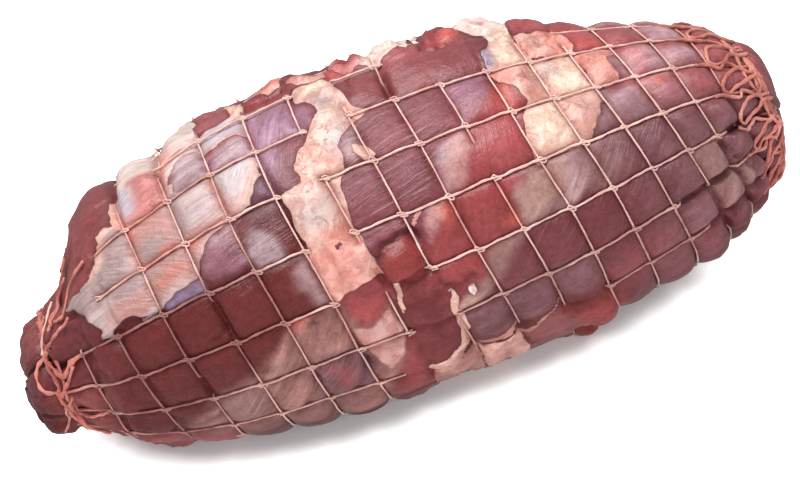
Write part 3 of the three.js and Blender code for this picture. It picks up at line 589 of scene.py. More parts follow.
# Lengths of cord that the meat covers, and lengths that lie deep in a crease: along, index, from, to
HOOP, STRAND = "hoop", "strand"
BURIED = [
    (HOOP, 1, -0.5, 3.8), (HOOP, 2, -0.5, 2.9), (HOOP, 2, 3.1, 3.9), (STRAND, 0, 0.2, 12.9),
    (STRAND, 1, 0.4, 3.9), (STRAND, 2, 0.5, 2.2), (STRAND, 3, 0.4, 1.9), (HOOP, 5, -0.5, 0.6),
    (HOOP, 6, -0.5, 0.9), (HOOP, 7, -0.5, 0.95), (HOOP, 8, -0.5, 1.7), (HOOP, 9, -0.5, 0.6),
    (HOOP, 10, -0.5, 1.9), (HOOP, 11, -0.5, 1.8), (HOOP, 12, -0.5, 1.2), (HOOP, 13, -0.5, 1.6),
    (STRAND, 1, 9.2, 12.9), (STRAND, 1, 7.2, 7.9), (HOOP, 7, 2.1, 2.95), (HOOP, 7, 4.3, 5.05),
    (HOOP, 8, 5.05, 5.95), (HOOP, 10, 3.4, 3.9), (STRAND, 2, 7.15, 7.9), (STRAND, 3, 6.1, 6.8),
    (STRAND, 4, 6.2, 6.85), (STRAND, 5, 6.1, 7.92), (STRAND, 6, 7.08, 7.95), (STRAND, 7, 6.6, 10.9),
    (HOOP, 7, 6.1, 8.5), (HOOP, 8, 7.05, 8.5), (HOOP, 9, 7, 8.5), (HOOP, 10, 7.05, 8.5),
    (STRAND, 8, 3, 14),
]
DEEP = [
    (HOOP, 3, -0.5, 1.1), (HOOP, 4, -0.5, 1.2), (HOOP, 9, 1.3, 1.9), (STRAND, 6, 13.2, 15.0),
    (STRAND, 5, 15.4, 16.8), (HOOP, 14, 6.05, 7.6), (HOOP, 15, 5.1, 7.6), (HOOP, 16, 4.1, 8),
    (STRAND, 7, 13.6, 16.5), (STRAND, 6, 15.9, 16.9), (STRAND, 8, 12.5, 16.5), (STRAND, 4, 0.1, 0.5),
    (HOOP, 4, 4.2, 4.95), (HOOP, 3, 5.5, 5.95),
]
REDDENED = [
    (HOOP, 9, 4.05, 5), (HOOP, 10, 3.1, 4.95), (HOOP, 8, 4.9, 6), (STRAND, 5, 6.9, 8),
    (HOOP, 3, 1.1, 3.1), (STRAND, 2, 2.4, 5), (STRAND, 3, 1.9, 5), (HOOP, 5, 1.9, 5), (HOOP, 4, 1, 2),
    (HOOP, 6, 4.9, 6), (HOOP, 7, 3.9, 5.3), (STRAND, 4, 6, 7), (STRAND, 3, 6, 7),
]

# Rounded swellings: hoop, strand, half width along and round, height
SWELLINGS = [
    (7.57, 4.74, 8, 6.6, 4.4), (10.55, 7.45, 9, 10, 4.2), (10.9, 7.6, 9, 9, 3), (0.3, 5.2, 7, 8, 2.2),
    (15.7, 5.4, 7, 8, 1.8), (14.95, 6.45, 7, 8, 1.6), (15.8, 6.5, 6, 8, 1.6), (15.6, 4.5, 7, 8, 1.2),
    (3.5, 0.9, 7, 9, 1.6), (4.5, 0.6, 6, 7, 1.4), (12.5, 0.2, 8, 9, 1.6), (8.08, 5.56, 1.8, 2, 1.4),
    (8.46, 5.62, 2.4, 1.8, 1.2), (7.95, 2.82, 3, 2.8, 1.4), (8.5, 7.1, 8, 5, 1.2), (7.5, 7.15, 8, 4, 1),
    (6.7, 0.35, 5, 5, 1.8), (7.55, 1.2, 7, 6, 1.6), (8.35, 0.35, 3.5, 6, 2.2), (8.7, 0.35, 4, 6, 2.6),
    (9.4, 0.1, 7, 7, 2.4), (9.55, 0.85, 8, 4, 1.4), (10.2, 0.4, 3, 7, 2.6), (10.45, 0.4, 2.6, 7, 2.4),
    (10.78, 0.5, 3.5, 5, 2.2), (11.5, 0.1, 8, 9, 2.4), (7.5, 0.5, 6, 5, 1.8), (3.45, 0, 6, 9, 2.2),
    (4.5, 0, 6, 9, 2.2), (12.35, 1.4, 3.5, 4, 1.1), (12.75, 1.3, 3.5, 4, 1.2), (12.6, 1.75, 4, 3, 0.9),
    (3.7, 1.15, 4, 4, 1.2), (6.45, 4.5, 6, 7, 1.0), (6.6, 3.4, 6, 6, 0.8), (7.15, 8.0, 16, 13, -3.6),
    (5.3, 7.8, 14, 10, 1.5), (0.6, 6.8, 8, 12, 1.5), (9.3, -0.2, 20, 17, -5.0),
    (16.3, -0.2, 14, 12, -4.2), (5, -0.4, 7, 9, 2.5), (16.8, 5.6, 8, 10, 2.6), (-0.3, 7.3, 8, 10, 2.6),
    (17.3, 0, 10, 14, -3.4),
]


# Painting

HIDDEN_SHIFT = 1.8
FIRST_SEEN = -1.0
LAST_SEEN = 8.5
# How far painted edges wander, in layers: share of a mesh, size
WANDERS = [(0.09, 7), (0.045, 2.6)]


def picture_coordinates():
    """Net coordinates for the paint; the far side repeats the near one, mirrored and shifted along."""
    wrapped = np.where(STRAND_GRID >= STRANDS + FIRST_SEEN, STRAND_GRID - STRANDS, STRAND_GRID)
    share = np.clip((wrapped - LAST_SEEN) / (STRANDS + FIRST_SEEN - LAST_SEEN), 0, 1)
    strand = np.where(wrapped > LAST_SEEN, LAST_SEEN + share * (FIRST_SEEN - LAST_SEEN), wrapped)
    return HOOP_GRID + HIDDEN_SHIFT * np.sin(np.pi * share), strand


def wandering(values, seed):
    layers = [(share, size, seed + k) for k, (share, size) in enumerate(WANDERS)]
    return values + layered(layers)


STRAIGHT_HOOP, STRAIGHT_STRAND = picture_coordinates()
PICTURE_HOOP = wandering(STRAIGHT_HOOP, 1)
PICTURE_STRAND = wandering(STRAIGHT_STRAND, 3)
ACROSS = PICTURE_HOOP * MESH_LENGTH
DOWN = PICTURE_STRAND * MESH_WIDTH


def to_millimetres(points):
    return np.array(points, float) * [MESH_LENGTH, MESH_WIDTH]


def near(corners, margin):
    low = corners.min(0) - margin
    high = corners.max(0) + margin
    return (ACROSS > low[0]) & (ACROSS < high[0]) & (DOWN > low[1]) & (DOWN < high[1])


def distance_to_line(x, y, points):
    best = np.full(x.shape, FAR)
    for (ax, ay), (bx, by) in zip(points[:-1], points[1:]):
        dx, dy = bx - ax, by - ay
        t = np.clip(((x - ax) * dx + (y - ay) * dy) / max(dx * dx + dy * dy, TINY), 0, 1)
        best = np.minimum(best, np.hypot(x - ax - t * dx, y - ay - t * dy))
    return best


def inside_outline(x, y, points):
    inside = np.zeros(x.shape, bool)
    for (ax, ay), (bx, by) in zip(points, np.roll(points, -1, axis=0)):
        crosses = (ay > y) != (by > y)
        reach = ax + (y - ay) * (bx - ax) / (by - ay if by != ay else TINY)
        inside ^= crosses & (x < reach)
    return inside


def patch_cover(corners, edge):
    """How far each grid point lies inside a patch: 1 well inside, 0.5 on its edge, 0 outside."""
    outline = to_millimetres(corners)
    cover = np.zeros(ACROSS.shape)
    close = near(outline, edge)
    x, y = ACROSS[close], DOWN[close]
    distance = distance_to_line(x, y, np.vstack([outline, outline[:1]]))
    signed = np.where(inside_outline(x, y, outline), distance, -distance)
    cover[close] = np.clip(0.5 + signed / (2 * edge), 0, 1)
    return cover


def line_cover(points, half_width):
    line = to_millimetres(points)
    cover = np.zeros(ACROSS.shape)
    close = near(line, 2 * half_width)
    cover[close] = np.clip(1 - distance_to_line(ACROSS[close], DOWN[close], line) / (2 * half_width), 0, 1)
    return cover


def blend(tint, cover, colour):
    return tint + cover[..., None] * (colour - tint)


def eased(value, low, high):
    t = np.clip((value - low) / (high - low), 0, 1)
    return t * t * (3 - 2 * t)


def turned(degrees, pivot):
    """Millimetres along and across fibres that are turned about a point."""
    angle = math.radians(degrees)
    x, y = STRAIGHT_HOOP * MESH_LENGTH - pivot[0], STRAIGHT_STRAND * MESH_WIDTH - pivot[1]
    along = pivot[0] + x * math.cos(angle) - y * math.sin(angle)
    across = pivot[1] + x * math.sin(angle) + y * math.cos(angle)
    return np.stack([along, across], -1)


FIBRE_EDGE = 5.0
FIBRE_SWAY = [(1.4, 24, 12), (0.4, 8, 13)]


def fibre_coordinates():
    """Millimetres along and across the fibres of each muscle, and how clear they are there."""
    middle = to_millimetres([(LAST_HOOP / 2, FRONT_STRAND)])[0]
    fibres = turned(FIBRE_TURN, middle)
    clear = np.ones(ACROSS.shape)
    for degrees, edge, corners in FIBRES:
        cover = patch_cover(corners, edge)
        region = turned(degrees, to_millimetres(corners).mean(0))
        fibres = np.where((cover > 0.5)[..., None], region, fibres)
        clear = clear * np.clip(FIBRE_EDGE * np.abs(cover - 0.5), 0, 1)
    fibres[..., 1] += layered(FIBRE_SWAY)
    return np.concatenate([fibres, clear[..., None]], -1)


GRAIN = fibre_coordinates()


def streaks(length, width, seed):
    """Noise drawn out along the fibres."""
    return GRAIN[..., 2] * noise(GRAIN * [width / length, 1, 0], width, seed)


def strongest(patches, least=0.0):
    """Strength of something that is listed by patches, over all the meat."""
    strength = np.full(ACROSS.shape, least)
    for amount, edge, corners in patches:
        strength = np.maximum(strength, amount * patch_cover(corners, edge))
    return strength


FIRST_TINTS = {LEAN: "mauve", FILM: "dusk", FAT: "cream", STAIN: "blood"}
HUE_EDGE = (0.1, 0.8)


def paint_patches():
    """Tint of each layer and how far it covers what lies below."""
    shape = ACROSS.shape + (3,)
    tints = {layer: np.broadcast_to(TINTS[name], shape) for layer, name in FIRST_TINTS.items()}
    covers = {layer: np.zeros(ACROSS.shape) for layer in (FILM, FAT, SHEET, STAIN)}
    for layer, tint, edge, corners in PATCHES:
        cover = patch_cover(corners, edge)
        weight = {LEAN: cover, HUE: eased(cover, *HUE_EDGE)}.get(layer, np.clip(2 * cover, 0, 1))
        painted = FAT if layer in (SHEET, HUE) else layer
        tints[painted] = blend(tints[painted], weight, TINTS[tint])
        if layer == FILM:
            covers[FAT] = np.minimum(covers[FAT], 1 - cover)
        if layer == SHEET:
            covers[FAT] = np.maximum(covers[FAT], cover)
        if layer in covers:
            covers[layer] = np.maximum(covers[layer], cover)
    for tint, half_width, points in SINEWS:
        cover = line_cover(points, half_width)
        tints[FAT] = blend(tints[FAT], np.clip(2 * cover, 0, 1), TINTS[tint])
        covers[FAT] = np.maximum(covers[FAT], cover)
    return tints, covers


# Noise in the paint: size and seed, or length, width and seed
BLOTCH = (9, 31)
MOTTLE = (4, 35)
SHADE = (13, 51)
GREYING = (11, 37)
STREAK = (20, 2.4, 41)

# Where the edge of each layer lies in its cover, and how far the noise frays it
SHEET_EDGE = (0.3, 0.7)
FAT_EDGE = (0.28, 0.66)
FAT_FRAY = 0.07
FILM_EDGE = (0.1, 0.8)
FILM_FRAY = 0.10
FILM_STREAKS = 0.12
STAIN_EDGE = (0.2, 1.0)
STAIN_FRAY = 0.22

# How dense the layers are and how much their tints change from place to place
SHEET_SMOOTHNESS = 0.8
FILM_DENSITY = 0.86
FILM_GAPS = 0.24
STAIN_DENSITY = 0.7
LEAN_DEPTH = np.array([1.0, 0.92, 0.92])
LEAN_CHANGE = 0.13
LEAN_BANDS = 0.06
FILM_CHANGE = 0.12
FILM_BANDS = 0.16
FAT_CHANGE = 0.10
FAT_BANDS = 0.06
FAT_BLUSH = 0.4
BLUSH_FRAY = 0.4
FAT_GREY = 0.4
GREY_LIMIT = 0.1


def loose_fat(covers):
    """1 where fat is thick and crumpled, and little where it is a thin smooth sheet."""
    return 1 - SHEET_SMOOTHNESS * eased(covers[SHEET], *SHEET_EDGE)


def varied(tint, change):
    """A tint made lighter and darker from place to place."""
    return tint * (1 + change)[..., None]


def paint(tints, covers):
    """Colours of the flesh and of the fat on it, and how much of the surface is fat and film."""
    blotch = fractal(SKIN, *BLOTCH)
    mottle = fractal(SKIN, *MOTTLE)
    streak = streaks(*STREAK)
    loose = loose_fat(covers)
    fat = eased(covers[FAT] + FAT_FRAY * mottle, *FAT_EDGE)
    film = eased(covers[FILM] + FILM_FRAY * mottle + FILM_STREAKS * streak, *FILM_EDGE)
    film = film * np.clip(FILM_DENSITY + FILM_GAPS * streak, 0, 1)
    stain = STAIN_DENSITY * eased(covers[STAIN] + STAIN_FRAY * mottle, *STAIN_EDGE)
    lean_change = LEAN_CHANGE * fractal(SKIN, *SHADE) + LEAN_BANDS * streak
    lean_tint = varied(tints[LEAN] * LEAN_DEPTH, lean_change)
    film_tint = varied(tints[FILM], FILM_CHANGE * blotch + FILM_BANDS * streak)
    pinker = FAT_BLUSH * loose * np.clip(blotch + BLUSH_FRAY * mottle, 0, 1)
    greyer = FAT_GREY * loose * np.clip(fractal(SKIN, *GREYING) - GREY_LIMIT, 0, 1)
    fat_tint = blend(blend(tints[FAT], pinker, TINTS["pink_fat"]), greyer, TINTS["ash"])
    fat_tint = varied(fat_tint, FAT_CHANGE * mottle + FAT_BANDS * streak)
    flesh_tint = blend(blend(lean_tint, film, film_tint), stain, tints[STAIN])
    return flesh_tint, blend(fat_tint, stain, tints[STAIN]), fat, film


# Relief

COVERED = 10.0
STEP_SIZE = 0.05
STEP_ROUNDING = 6.0
STRETCH_FADE = 0.16
LEFT_CREASE_FADE = 20.0
RIGHT_CREASE_FADE = 4.0


def cord_distances():
    """Distance along the roll to the nearest hoop and round it to the nearest strand."""
    spacing = np.gradient(hoop_place(ROW_HOOPS), ROW_HOOPS)[:, None]
    arc = np.radians(STRAND_STEP) * radius_at(hoop_place(ROW_HOOPS))[:, None]
    to_hoop = np.abs(HOOP_GRID - np.round(np.clip(HOOP_GRID, 0, LAST_HOOP))) * spacing
    strand = STRAND_GRID - strand_step_offset(HOOP_GRID)
    to_strand = np.abs(strand - np.round(strand)) * arc
    beyond = np.maximum(-HOOP_GRID, HOOP_GRID - LAST_HOOP)
    fading = np.where(HOOP_GRID < 0, LEFT_CREASE_FADE, RIGHT_CREASE_FADE)
    to_strand = np.where(beyond > 0, to_strand + fading * beyond, to_strand)
    to_hoop = to_hoop + COVERED * stretch_cover(BURIED, HOOP, HOOP_GRID, STRAND_GRID)
    return to_hoop, to_strand + COVERED * stretch_cover(BURIED, STRAND, HOOP_GRID, STRAND_GRID)


def stretch_cover(stretches, along, hoop, strand):
    """1 on the listed lengths of hoop or strand cord and on the meat beside them, 0 elsewhere."""
    cover = np.zeros(np.broadcast(hoop, strand).shape)
    for kind, index, start, end in stretches:
        if kind != along:
            continue
        middle = (start + end) / 2
        half = (end - start) / 2
        if kind == HOOP:
            aside, ahead = hoop - index, strands_from(strand, middle)
        else:
            aside, ahead = strands_from(strand, index), hoop - middle
        inside = np.clip((half - np.abs(ahead)) / STRETCH_FADE + 0.5, 0, 1)
        cover = np.maximum(cover, np.where(np.abs(aside) < 0.5, inside, 0))
    return cover


def strand_step_offset(hoop):
    """Each strand steps down at a hoop and climbs again to the next one."""
    part = hoop - np.floor(hoop)
    inside = np.clip(np.minimum(hoop - 0.5, LAST_HOOP - 0.5 - hoop), 0, 1)
    rounded = np.clip(STEP_ROUNDING * np.minimum(part, 1 - part), 0, 1)
    return STEP_SIZE * (0.5 - part) * rounded * inside


SWELLING_SHARE = 0.8
SWELLING_ROUNDNESS = 0.7


def swelling(hoop, strand, along, round_, height):
    x = (ACROSS - hoop * MESH_LENGTH) / along
    y = (DOWN - strand * MESH_WIDTH) / round_
    return SWELLING_SHARE * height * np.clip(1 - (x * x + y * y), 0, 1) ** SWELLING_ROUNDNESS


PILLOW_HEIGHT = 1.8
PILLOW_RANGE = (0.7, 1.3)
PILLOW_EDGE = 3.4
CORD_BED = 0.5
CORD_BED_WIDTH = 1.0
CORD_CLEARANCE = 1.8
CREASE_DEPTH = 1.8
CREASE_WIDTH = 1.3
FAT_THICKNESS = 0.7
FILM_THICKNESS = 0.2
FILM_STREAK = (16, 3, 44)
FIBRE_HEIGHT = 0.16
FIBRE_STREAK = (22, 2.6, 43)

# Fuller meshes towards the right end and the underside: strength, start, reach
RIGHT_FULLNESS = (0.8, 12.5, 2)
LOW_FULLNESS = (0.5, 5.5, 2)

# Noise in the relief, in layers: height, size, seed
BROAD_WAVES = [(1.2, 34, 5)]
FLESH_LUMPS = [(0.3, 9, 8), (0.14, 3.2, 9)]
FAT_FOLDS = [(0.9, 7, 61), (0.6, 3.4, 62)]
FOLD_LEVEL = 0.45
FOLD_HEIGHT = 1.5
RUGGED_FOLDS = [(2.0, 8, 91)]
RUGGED_LUMPS = [(0.9, 3.2, 92)]
RUGGED_LEVEL = 0.6
RUGGED_FADE = (1.2, 3.2)

# The ridge along the top: its line, and the hoops between which it is lumpy and sunk
CREST_STRAND = -0.1
CREST_WIDTH = 0.9
CREST_LUMPS = [(2.0, 9, 21), (1.5, 4.5, 22)]
LUMPS_START = (4.5, 5.5)
LUMPS_END = (12, 13)
DIP_START = (2.4, 4)
DIP_END = (8, 10)
DIP_DEPTH = 3.2


def growing(values, strength, start, reach):
    return strength * np.clip((values - start) / reach, 0, 1)


def pillow_heights():
    chances = random.uniform(*PILLOW_RANGE, (LAST_HOOP + 2, STRANDS))
    hoop = np.clip(np.floor(HOOP_GRID).astype(int), -1, LAST_HOOP) + 1
    strand = np.floor(STRAND_GRID - strand_step_offset(HOOP_GRID)).astype(int) % STRANDS
    fuller = growing(HOOP_GRID, *RIGHT_FULLNESS) + growing(PICTURE_STRAND, *LOW_FULLNESS)
    return PILLOW_HEIGHT * chances[hoop, strand] * (1 + fuller)


def between(start, end):
    """1 between two places along the roll, with soft ends."""
    return eased(HOOP_GRID, *start) * (1 - eased(HOOP_GRID, *end))


def crest_relief():
    """Lumps along the top of the roll, and the dip at their left."""
    crest = np.exp(-(strands_from(STRAND_GRID, CREST_STRAND) / CREST_WIDTH) ** 2)
    lumps = between(LUMPS_START, LUMPS_END) * layered(CREST_LUMPS)
    return crest * (lumps - DIP_DEPTH * between(DIP_START, DIP_END))


def surface_relief(fat, film):
    """Relief of the fat, the film and the fibres themselves."""
    folds = FAT_THICKNESS + FOLD_HEIGHT * loose_fat(LAYER_COVERS) * (folded(FAT_FOLDS) - FOLD_LEVEL)
    film_height = FILM_THICKNESS * film * (1 + streaks(*FILM_STREAK))
    fibres = FIBRE_HEIGHT * streaks(*FIBRE_STREAK) + layered(FLESH_LUMPS)
    return fat * folds + film_height + (1 - fat) * fibres


def relief(fat, film):
    """Smooth relief that the cords follow, and the fine relief of the meat between them."""
    to_hoop, to_strand = cord_distances()
    rise = (1 - np.exp(-to_hoop / PILLOW_EDGE)) * (1 - np.exp(-to_strand / PILLOW_EDGE))
    beside = np.minimum(to_hoop, to_strand)
    bed = np.exp(-(beside / CORD_BED_WIDTH) ** 2)
    smooth = layered(BROAD_WAVES)
    for entry in SWELLINGS:
        smooth = smooth + swelling(*entry)
    fine = rise * pillow_heights() - CORD_BED * bed + crest_relief()
    for along, distance in ((HOOP, to_hoop), (STRAND, to_strand)):
        crease = stretch_cover(DEEP, along, HOOP_GRID, STRAND_GRID) * np.exp(-(distance / CREASE_WIDTH) ** 2)
        fine = fine - CREASE_DEPTH * crease
    rugged = (1 - eased(HOOP_GRID, *RUGGED_FADE)) * (1 - fat)
    fine = fine + rugged * (folded(RUGGED_FOLDS) + layered(RUGGED_LUMPS) - RUGGED_LEVEL)
    away = 1 - np.exp(-(beside / CORD_CLEARANCE) ** 2)
    fine = fine + away * surface_relief(fat, film)
    for depth, half_width, points in SEAMS:
        fine = fine - depth * line_cover(points, half_width)
    return smooth, fine


# Painted shade and light in the meat's colour: hollows and the underside darker, raised places paler, and
# beside the cords a darker, redder band that is partly blood and partly painted shade
HOLLOW_REACH = 5
HOLLOW_RANGE = (-1, 1.6)
HOLLOW_STRENGTH = 0.5
HOLLOW_TINT = np.array([0.66, 0.42, 0.42])
RISE_GLOW = 0.12
UNDER_EDGE = (-0.1, 0.6)
UNDER_SHADE = np.array([0.3, 0.42, 0.42])
BLOOD_AND_SHADE_REACH = 2.6
BLOOD_AND_SHADE_BY_CORDS = 0.45
BLOOD_AND_SHADE_TINT = np.array([0.80, 0.50, 0.47])
BLOOD_AND_SHADE_PATCHES = (8, 81)
BLOOD_AND_SHADE_LEAST = 0.75
BLOOD_AND_SHADE_CHANGE = 0.6


def blurred(values, reach):
    padded = np.pad(values, ((reach, reach), (0, 0)), mode="edge")
    rows = sum(padded[step:step + len(values)] for step in range(2 * reach + 1)) / (2 * reach + 1)
    return sum(np.roll(rows, step, axis=1) for step in range(-reach, reach + 1)) / (2 * reach + 1)


def deepen(colour, fine):
    """Painted shade in the hollows and on the underside, painted light on what stands up, and beside the
    cords a darker, redder band that is partly blood and partly painted shade.
    """
    # Painted shade: the hollows of the relief are darker
    hollow = np.clip(blurred(fine, HOLLOW_REACH) - fine, *HOLLOW_RANGE)
    shaded = blend(colour, HOLLOW_STRENGTH * np.clip(hollow, 0, 1), colour * HOLLOW_TINT)
    # Beside the cords the meat is darker and redder: partly blood, partly painted shade of the grooves the
    # cords lie in
    beside = np.exp(-(np.minimum(*cord_distances()) / BLOOD_AND_SHADE_REACH) ** 2)
    beside = beside * np.clip(BLOOD_AND_SHADE_LEAST + BLOOD_AND_SHADE_CHANGE * fractal(SKIN, *BLOOD_AND_SHADE_PATCHES), 0, 1)
    shaded = blend(shaded, BLOOD_AND_SHADE_BY_CORDS * beside, shaded * BLOOD_AND_SHADE_TINT)
    # Painted light: what stands up is paler
    shaded = varied(shaded, RISE_GLOW * np.clip(-hollow, 0, 1))
    # Painted shade: meat that faces down is darker
    under = eased(-SKIN_NORMALS[..., 2], *UNDER_EDGE)
    return shaded * (1 - UNDER_SHADE * under[..., None])


# Mesh helpers

def make_mesh(name, vertices, faces, smooth=True):
    mesh = bpy.data.meshes.new(name)
    mesh.from_pydata((np.asarray(vertices) * MM).tolist(), [], faces)
    mesh.validate()
    mesh.polygons.foreach_set("use_smooth", np.full(len(mesh.polygons), smooth))
    mesh.update()
    piece = bpy.data.objects.new(name, mesh)
    bpy.context.scene.collection.objects.link(piece)
    return piece


def set_attribute(piece, name, kind, values):
    attribute = piece.data.attributes.new(name, kind, "POINT")
    key = {"FLOAT_VECTOR": "vector", "FLOAT_COLOR": "color"}[kind]
    attribute.data.foreach_set(key, np.ascontiguousarray(values, dtype=np.float32).ravel())


def with_alpha(colours, alpha):
    return np.concatenate([colours, alpha[..., None]], -1)


# The meat

LAYER_TINTS, LAYER_COVERS = paint_patches()
FLESH_TINT, FAT_TINT, FAT_COVER, FILM_COVER = paint(LAYER_TINTS, LAYER_COVERS)
SMOOTH_RELIEF, FINE_RELIEF = relief(FAT_COVER, FILM_COVER)
CORD_LEVEL = SKIN + SKIN_NORMALS * SMOOTH_RELIEF[..., None]
LOWEST = 0.15
LOWEST_CORD = 1.0


def on_table(points):
    points[..., 2] = np.maximum(points[..., 2], LOWEST)
    return points


def tips(values):
    """Adds the two end points of the roll to a grid of values, in the order the mesh has them."""
    flat = values.reshape(-1, values.shape[-1])
    return np.vstack([flat, values[0].mean(0), values[-1].mean(0)])


def meat_faces(rows, columns):
    r, c = np.meshgrid(np.arange(rows - 1), np.arange(columns), indexing="ij")
    n = (c + 1) % columns
    quads = np.stack([r * columns + c, r * columns + n, (r + 1) * columns + n, (r + 1) * columns + c], -1)
    first, last = rows * columns, rows * columns + 1
    ends = [(first, (c + 1) % columns, c) for c in range(columns)]
    base = (rows - 1) * columns
    ends += [(last, base + c, base + (c + 1) % columns) for c in range(columns)]
    return quads.reshape(-1, 4).tolist() + ends


def bake_map(piece, rows, columns):
    """Unrolled layout of the grid, so that each face has its own place."""
    layer = piece.data.uv_layers.new(name="OFBake")
    vertex = np.empty(len(piece.data.loops), int)
    piece.data.loops.foreach_get("vertex_index", vertex)
    on_grid = vertex < rows * columns
    row = np.where(on_grid, vertex // columns + 1, np.where(vertex == rows * columns, 0, rows + 1))
    column = vertex % columns
    face_start = np.empty(len(piece.data.polygons), int)
    piece.data.polygons.foreach_get("loop_start", face_start)
    face = np.searchsorted(face_start, np.arange(len(vertex)), side="right") - 1
    lowest = np.minimum.reduceat(np.where(on_grid, column, columns), face_start)[face]
    widest = np.maximum.reduceat(np.where(on_grid, column, 0), face_start)[face]
    column = np.where((widest - lowest > 1) & (column == 0), columns, column)
    column = np.where(on_grid, column, lowest + 0.5)
    places = np.stack([row / (rows + 1), column / columns], -1)
    layer.data.foreach_set("uv", places.astype(np.float32).ravel())


def make_meat():
    surface = on_table(CORD_LEVEL + SKIN_NORMALS * FINE_RELIEF[..., None])
    rows, columns = ACROSS.shape
    piece = make_mesh("rolled_meat", tips(surface), meat_faces(rows, columns))
    loose = loose_fat(LAYER_COVERS)
    for name, tint in (("flesh_tint", FLESH_TINT), ("fat_tint", FAT_TINT)):
        # Both tints carry the painted shade and light and the blood from deepen
        colour = with_alpha(np.clip(deepen(tint, FINE_RELIEF), 0, 1), loose)
        set_attribute(piece, name, "FLOAT_COLOR", tips(colour))
    threads = strongest(THREADS, FEW_THREADS) * (1 - FAT_COVER)
    cover = np.stack([LAYER_COVERS[FAT], FILM_COVER, threads], -1)
    set_attribute(piece, "cover", "FLOAT_VECTOR", tips(cover))
    set_attribute(piece, "grain", "FLOAT_VECTOR", tips(GRAIN))
    bake_map(piece, rows, columns)
    return piece


# Cords

def smooth_path(points, per_step):
    """Rounded curve through points, with per_step samples between each two."""
    points = np.asarray(points, float)
    padded = np.vstack([2 * points[0] - points[1], points, 2 * points[-1] - points[-2]])
    t = np.arange(per_step)[:, None] / per_step
    pieces = []
    for a, b, c, d in zip(padded[:-3], padded[1:-2], padded[2:-1], padded[3:]):
        pieces.append(0.5 * (2 * b + (c - a) * t + (2 * a - 5 * b + 4 * c - d) * t ** 2
                             + (3 * b - a - 3 * c + d) * t ** 3))
    return np.vstack(pieces + [points[-1:]])


def on_meat(path):
    """Points above the meat for (hoop, strand, lift) rows, with the outward directions there."""
    hoop, strand, lift = path[:, 0], path[:, 1], path[:, 2]
    normals = sample(SKIN_NORMALS, hoop, strand)
    normals /= np.linalg.norm(normals, axis=-1, keepdims=True)
    points = sample(CORD_LEVEL, hoop, strand) + normals * lift[:, None]
    points[:, 2] = np.maximum(points[:, 2], LOWEST_CORD)
    return points, normals


DRAPE_REACH = 4
DRAPE = blurred(np.maximum(FINE_RELIEF, 0), DRAPE_REACH)[..., None]


def draped(path):
    """Points of a loose cord, which lies on the swollen meat instead of in its grooves."""
    raised = np.array(path, float)
    raised[:, 2] += sample(DRAPE, raised[:, 0], raised[:, 1])[:, 0]
    return on_meat(raised)


class CordBuilder:
    """Collects swept cords into one mesh, with their twist, stain and wetness kept for the finish."""

    def __init__(self):
        self.vertices, self.faces, self.marks = [], [], []
        self.count = 0

    def sweep(self, points, normals, radius, stain, wet=0.0, sides=8, closed=False, ply=0.12, pitch=4.6):
        points = np.asarray(points)
        count = len(points)
        if closed:
            ahead = np.roll(points, -1, axis=0) - np.roll(points, 1, axis=0)
        else:
            ahead = np.gradient(points, axis=0)
        ahead = ahead / np.maximum(np.linalg.norm(ahead, axis=1, keepdims=True), TINY)
        side = np.cross(ahead, normals)
        side = side / np.maximum(np.linalg.norm(side, axis=1, keepdims=True), TINY)
        up = np.cross(side, ahead)
        steps = np.linalg.norm(np.diff(points, axis=0), axis=1)
        length = np.concatenate([[0], np.cumsum(steps)])
        angle = 2 * np.pi * np.arange(sides) / sides
        radius = np.broadcast_to(np.asarray(radius, float), (count,))[:, None]
        swell = radius * (1 + ply * np.cos(2 * (angle[None] - np.pi * length[:, None] / pitch)))
        ring = (points[:, None] + swell[..., None] * (np.cos(angle)[None, :, None] * side[:, None]
                                                      + np.sin(angle)[None, :, None] * up[:, None]))
        self.vertices.append(ring.reshape(-1, 3))
        twist = (length[:, None] * 2 * np.pi / CORD_TWIST + 2 * angle).ravel()
        spread = [np.repeat(np.broadcast_to(np.asarray(v, float), (count,)), sides) for v in (stain, wet)]
        self.marks.append(np.stack([twist, *spread], -1))
        base = self.count
        for i in range(count if closed else count - 1):
            j = (i + 1) % count
            for k in range(sides):
                m = (k + 1) % sides
                self.faces.append((base + i * sides + k, base + j * sides + k,
                                   base + j * sides + m, base + i * sides + m))
        if not closed:
            self.faces.append(tuple(base + k for k in range(sides)))
            self.faces.append(tuple(base + (count - 1) * sides + k for k in reversed(range(sides))))
        self.count += count * sides

    def make(self, name):
        piece = make_mesh(name, np.vstack(self.vertices), self.faces)
        set_attribute(piece, "cord", "FLOAT_VECTOR", np.vstack(self.marks))
        return piece


CORD_WETNESS = strongest(WET_CORDS)
CORD_TWIST = 1.15
HOOP_CORD = 0.33
STRAND_CORD = 0.38
KNOT_CORD = 0.25
CORD_CHANGE = 0.3
HOOP_LIFT = 0.3
STRAND_LIFT = 0.4
KNOT_RISE = 0.3
KNOT_REACH = 0.06
BURIED_DROP = 3.0
DEEP_DROP = 4.6
HIDDEN_DEPTH = 1.0

# Stain of the cords: strength beside reddened meat, and the hoops where the stained ends begin
REDDENED_STAIN = 0.5
LEFT_STAIN_END = 1.6
RIGHT_STAIN_START = 15.2
END_STAIN_FADE = 1.2
END_THICKENING = 0.4

# Unevenness of the cords: size and seed, and sideways wander as share of a mesh, size in meshes, seed
STRAND_UNEVEN = (3, 72)
HOOP_UNEVEN = (3, 73)
CORD_WANDERS = [(0.014, 0.45, 74), (0.007, 0.15, 75)]
LINE_SPACING = 3.0
HOOP_STEADINESS = 0.5
HOOP_WAVE = 0.02
HOOP_WAVES = 5
FIRST_HOOP_LINE = 40

# Samples for each mesh along a strand and round a hoop
STRAND_SAMPLES = 26
HOOP_SAMPLES = 24


